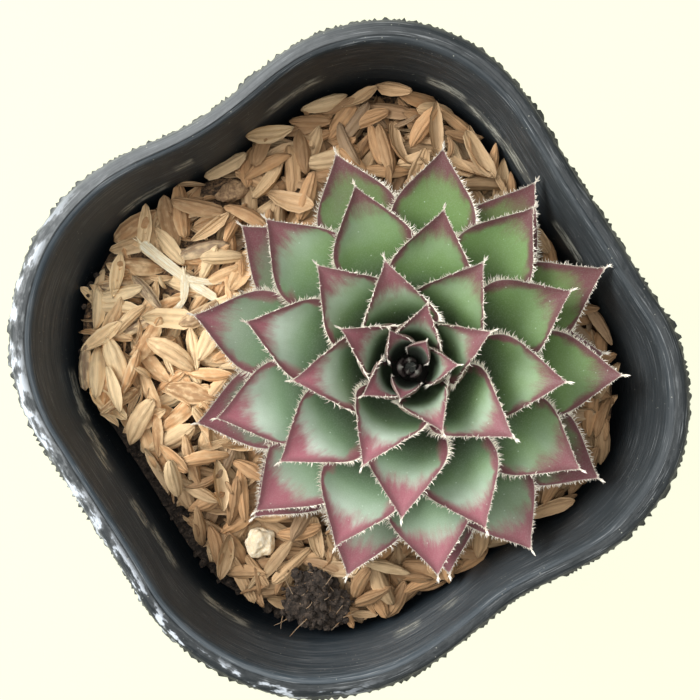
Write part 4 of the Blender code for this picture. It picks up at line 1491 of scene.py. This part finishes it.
def make_heart_bud():
    place = rosette_place()
    points, faces = closed_sheet(BUD_COLUMNS, BUD_ROWS)
    draft = Draft(*LEAF_VALUES)
    for order in range(BUD_LEAVES):
        shaped, edge, tip, side = [], [], [], []
        for p in points:
            share = (p.y + 1) / 2
            shaped.append(place @ bud_leaf_point(order, share, p.x, 0.0 if p.z > -0.5 else 1.0))
            width = 2.6 * math.sin(math.pi * min(max(share, 0.06), 0.98)) ** 0.7
            edge.append((1 - abs(p.x)) * width)
            tip.append((1 - share) * BUD_HEIGHT)
            side.append(p.x * width)
        draft.add(shaped, faces, edge=edge, tip=tip, side=side, kin=float(order + 3), age=0.0)
    base = leaf_foot(0)[1] + GAP
    spine = [place @ Vector((0, 0, base + z)) for z in (0, 2, 4.5)]
    draft.add(*tube(spine, [0.9, 1.3, 0.8], 12), edge=1.0, tip=9.0)
    return draft.made("heart_leaves")


class HOUSELEEK_OT_leaves(bpy.types.Operator):
    """Shapes the rosette's leaves with the hairs on their margins"""

    bl_idname = "houseleek.leaves"
    bl_label = "Leaves"

    def execute(self, context):
        look = context.scene.houseleek_rosette
        blank = closed_sheet(LEAF_COLUMNS, LEAF_ROWS)
        finishes = [leaf_finish("leaf", look), glowing_hair_finish(look)]
        for index in range(LEAVES):
            node = f"leaf_{index + 1:02d}"
            set_piece(make_leaf(index, blank, look), finishes, "leaf", [node], smooth_angle=60)
        return {"FINISHED"}


class HOUSELEEK_OT_heart(bpy.types.Operator):
    """Shapes the closed young leaves in the rosette's middle"""

    bl_idname = "houseleek.heart"
    bl_label = "Heart"

    def execute(self, context):
        look = context.scene.houseleek_rosette
        # The young leaves of the heart are painted dark, as in deep shade
        finishes = [leaf_finish("young_leaf", look, heart_shade=0.85), glowing_hair_finish(look)]
        set_piece(make_heart_bud(), finishes, "young_leaf", ["heart_bud"], smooth_angle=60)
        return {"FINISHED"}


class HOUSELEEK_OT_stem(bpy.types.Operator):
    """Gives the stem its bark"""

    bl_idname = "houseleek.stem"
    bl_label = "Stem"

    def execute(self, context):
        finish = Finish("stem_bark", roughness=0.85)
        scales = finish.noise(finish.place((1.0, 1.0, 2.4)), scale=0.8, detail=4, roughness=0.7)
        flakes = finish.cells(finish.place((1.0, 1.0, 2.0)), scale=0.9)
        # Painted shade: the stem's top, up among the leaves, is painted the dark of the heart
        young = finish.along(Vector((0, 0, 1))).step(MULCH_LEVEL + 3, MULCH_LEVEL + 7)
        colour = finish.layers(
            BARK,
            (scales.step(0.35, 0.7), BARK_SCALE),
            ((1 - flakes.step(0.1, 0.4)) * 0.4, BARK_FLAKE),
            (young * 0.95, context.scene.houseleek_rosette.depth),
        )
        finish.paint("Base Color", colour)
        finish.bump(scales * 0.7 + flakes * 0.4, 0.4)
        paint_node("stem", finish)
        return {"FINISHED"}


# Stage, in metres

FLOOR_DARK, FLOOR_LIGHT = tint(80, 80, 66), tint(84, 84, 70)
KEY_TURN = math.radians(130)
CAMERA_PLACE = (1.92 * MM, 1.62 * MM, 260 * MM)
CAMERA_LENS = 61.7


class HOUSELEEK_OT_stage(bpy.types.Operator):
    """Sets the floor, the soft lights and the camera that looks straight down"""

    bl_idname = "houseleek.stage"
    bl_label = "Stage"

    def execute(self, context):
        look = context.scene.houseleek_stage
        deselect()
        bpy.ops.mesh.primitive_plane_add(size=3)
        floor = context.object
        floor.name = "floor"
        finish = Finish("floor", roughness=0.8)
        finish.paint("Emission Strength", 0.96)
        mottle = finish.noise(finish.place(), scale=0.02, detail=2)
        finish.paint("Base Color", finish.mix(mottle * 0.2, FLOOR_LIGHT, FLOOR_DARK))
        finish.paint("Emission Color", look.floor)
        floor.data.materials.append(finish.material)
        side = polar(KEY_TURN)
        middle = Vector((0, 0, POT_HEIGHT * MM))
        for name, spot, size, power in (
            ("overhead", Vector((0, 0, 0.72)) + side * 0.08, 0.62, look.overhead),
            ("key", middle + side * 0.5 + Vector((0, 0, 0.42)), 0.32, look.key),
        ):
            bpy.ops.object.light_add(type="AREA", location=spot)
            light = context.object
            light.name = name
            light.data.size = size
            light.data.energy = power
            light.rotation_euler = (middle - spot).to_track_quat("-Z", "Y").to_euler()
        world = context.scene.world or bpy.data.worlds.new("room")
        context.scene.world = world
        world.use_nodes = True
        background = world.node_tree.nodes["Background"]
        background.inputs["Color"].default_value = (1.0, 0.99, 0.96, 1.0)
        background.inputs["Strength"].default_value = look.ambient
        context.scene.view_settings.view_transform = "Standard"
        bpy.ops.object.camera_add(location=CAMERA_PLACE, rotation=(0, 0, VIEW_TURN))
        camera = context.object
        camera.data.sensor_width = 36.0
        camera.data.lens = CAMERA_LENS
        camera.data.clip_start = 0.01
        context.scene.camera = camera
        return {"FINISHED"}


class HOUSELEEK_PT_panel(bpy.types.Panel):
    """Lists the pieces and their sizes and colours"""

    bl_label = "Potted houseleek"
    bl_space_type = "VIEW_3D"
    bl_region_type = "UI"
    bl_category = PANEL_TAB

    def draw(self, context):
        for name, operators in STEPS.items():
            box = self.layout.box()
            look = getattr(context.scene, name)
            for key in type(look).__annotations__:
                box.prop(look, key)
            for operator in operators:
                box.operator(operator.bl_idname)


LOOKS = {
    "houseleek_pot": PotLook,
    "houseleek_mulch": MulchLook,
    "houseleek_rosette": RosetteLook,
    "houseleek_stage": StageLook,
}
STEPS = {
    "houseleek_pot": (HOUSELEEK_OT_pot,),
    "houseleek_mulch": (
        HOUSELEEK_OT_soil, HOUSELEEK_OT_mulch, HOUSELEEK_OT_stones, HOUSELEEK_OT_clod, HOUSELEEK_OT_straw
    ),
    "houseleek_rosette": (HOUSELEEK_OT_stem, HOUSELEEK_OT_leaves, HOUSELEEK_OT_heart),
    "houseleek_stage": (HOUSELEEK_OT_stage,),
}
CLASSES = (*LOOKS.values(), *(operator for step in STEPS.values() for operator in step), HOUSELEEK_PT_panel)


def register():
    for cls in CLASSES:
        bpy.utils.register_class(cls)
    for name, look in LOOKS.items():
        setattr(bpy.types.Scene, name, bpy.props.PointerProperty(type=look))


def unregister():
    for name in LOOKS:
        delattr(bpy.types.Scene, name)
    for cls in reversed(CLASSES):
        bpy.utils.unregister_class(cls)


def main():
    register()
    for operators in STEPS.values():
        for operator in operators:
            group, name = operator.bl_idname.split(".")
            getattr(getattr(bpy.ops, group), name)()


if __name__ == "__main__":
    main()
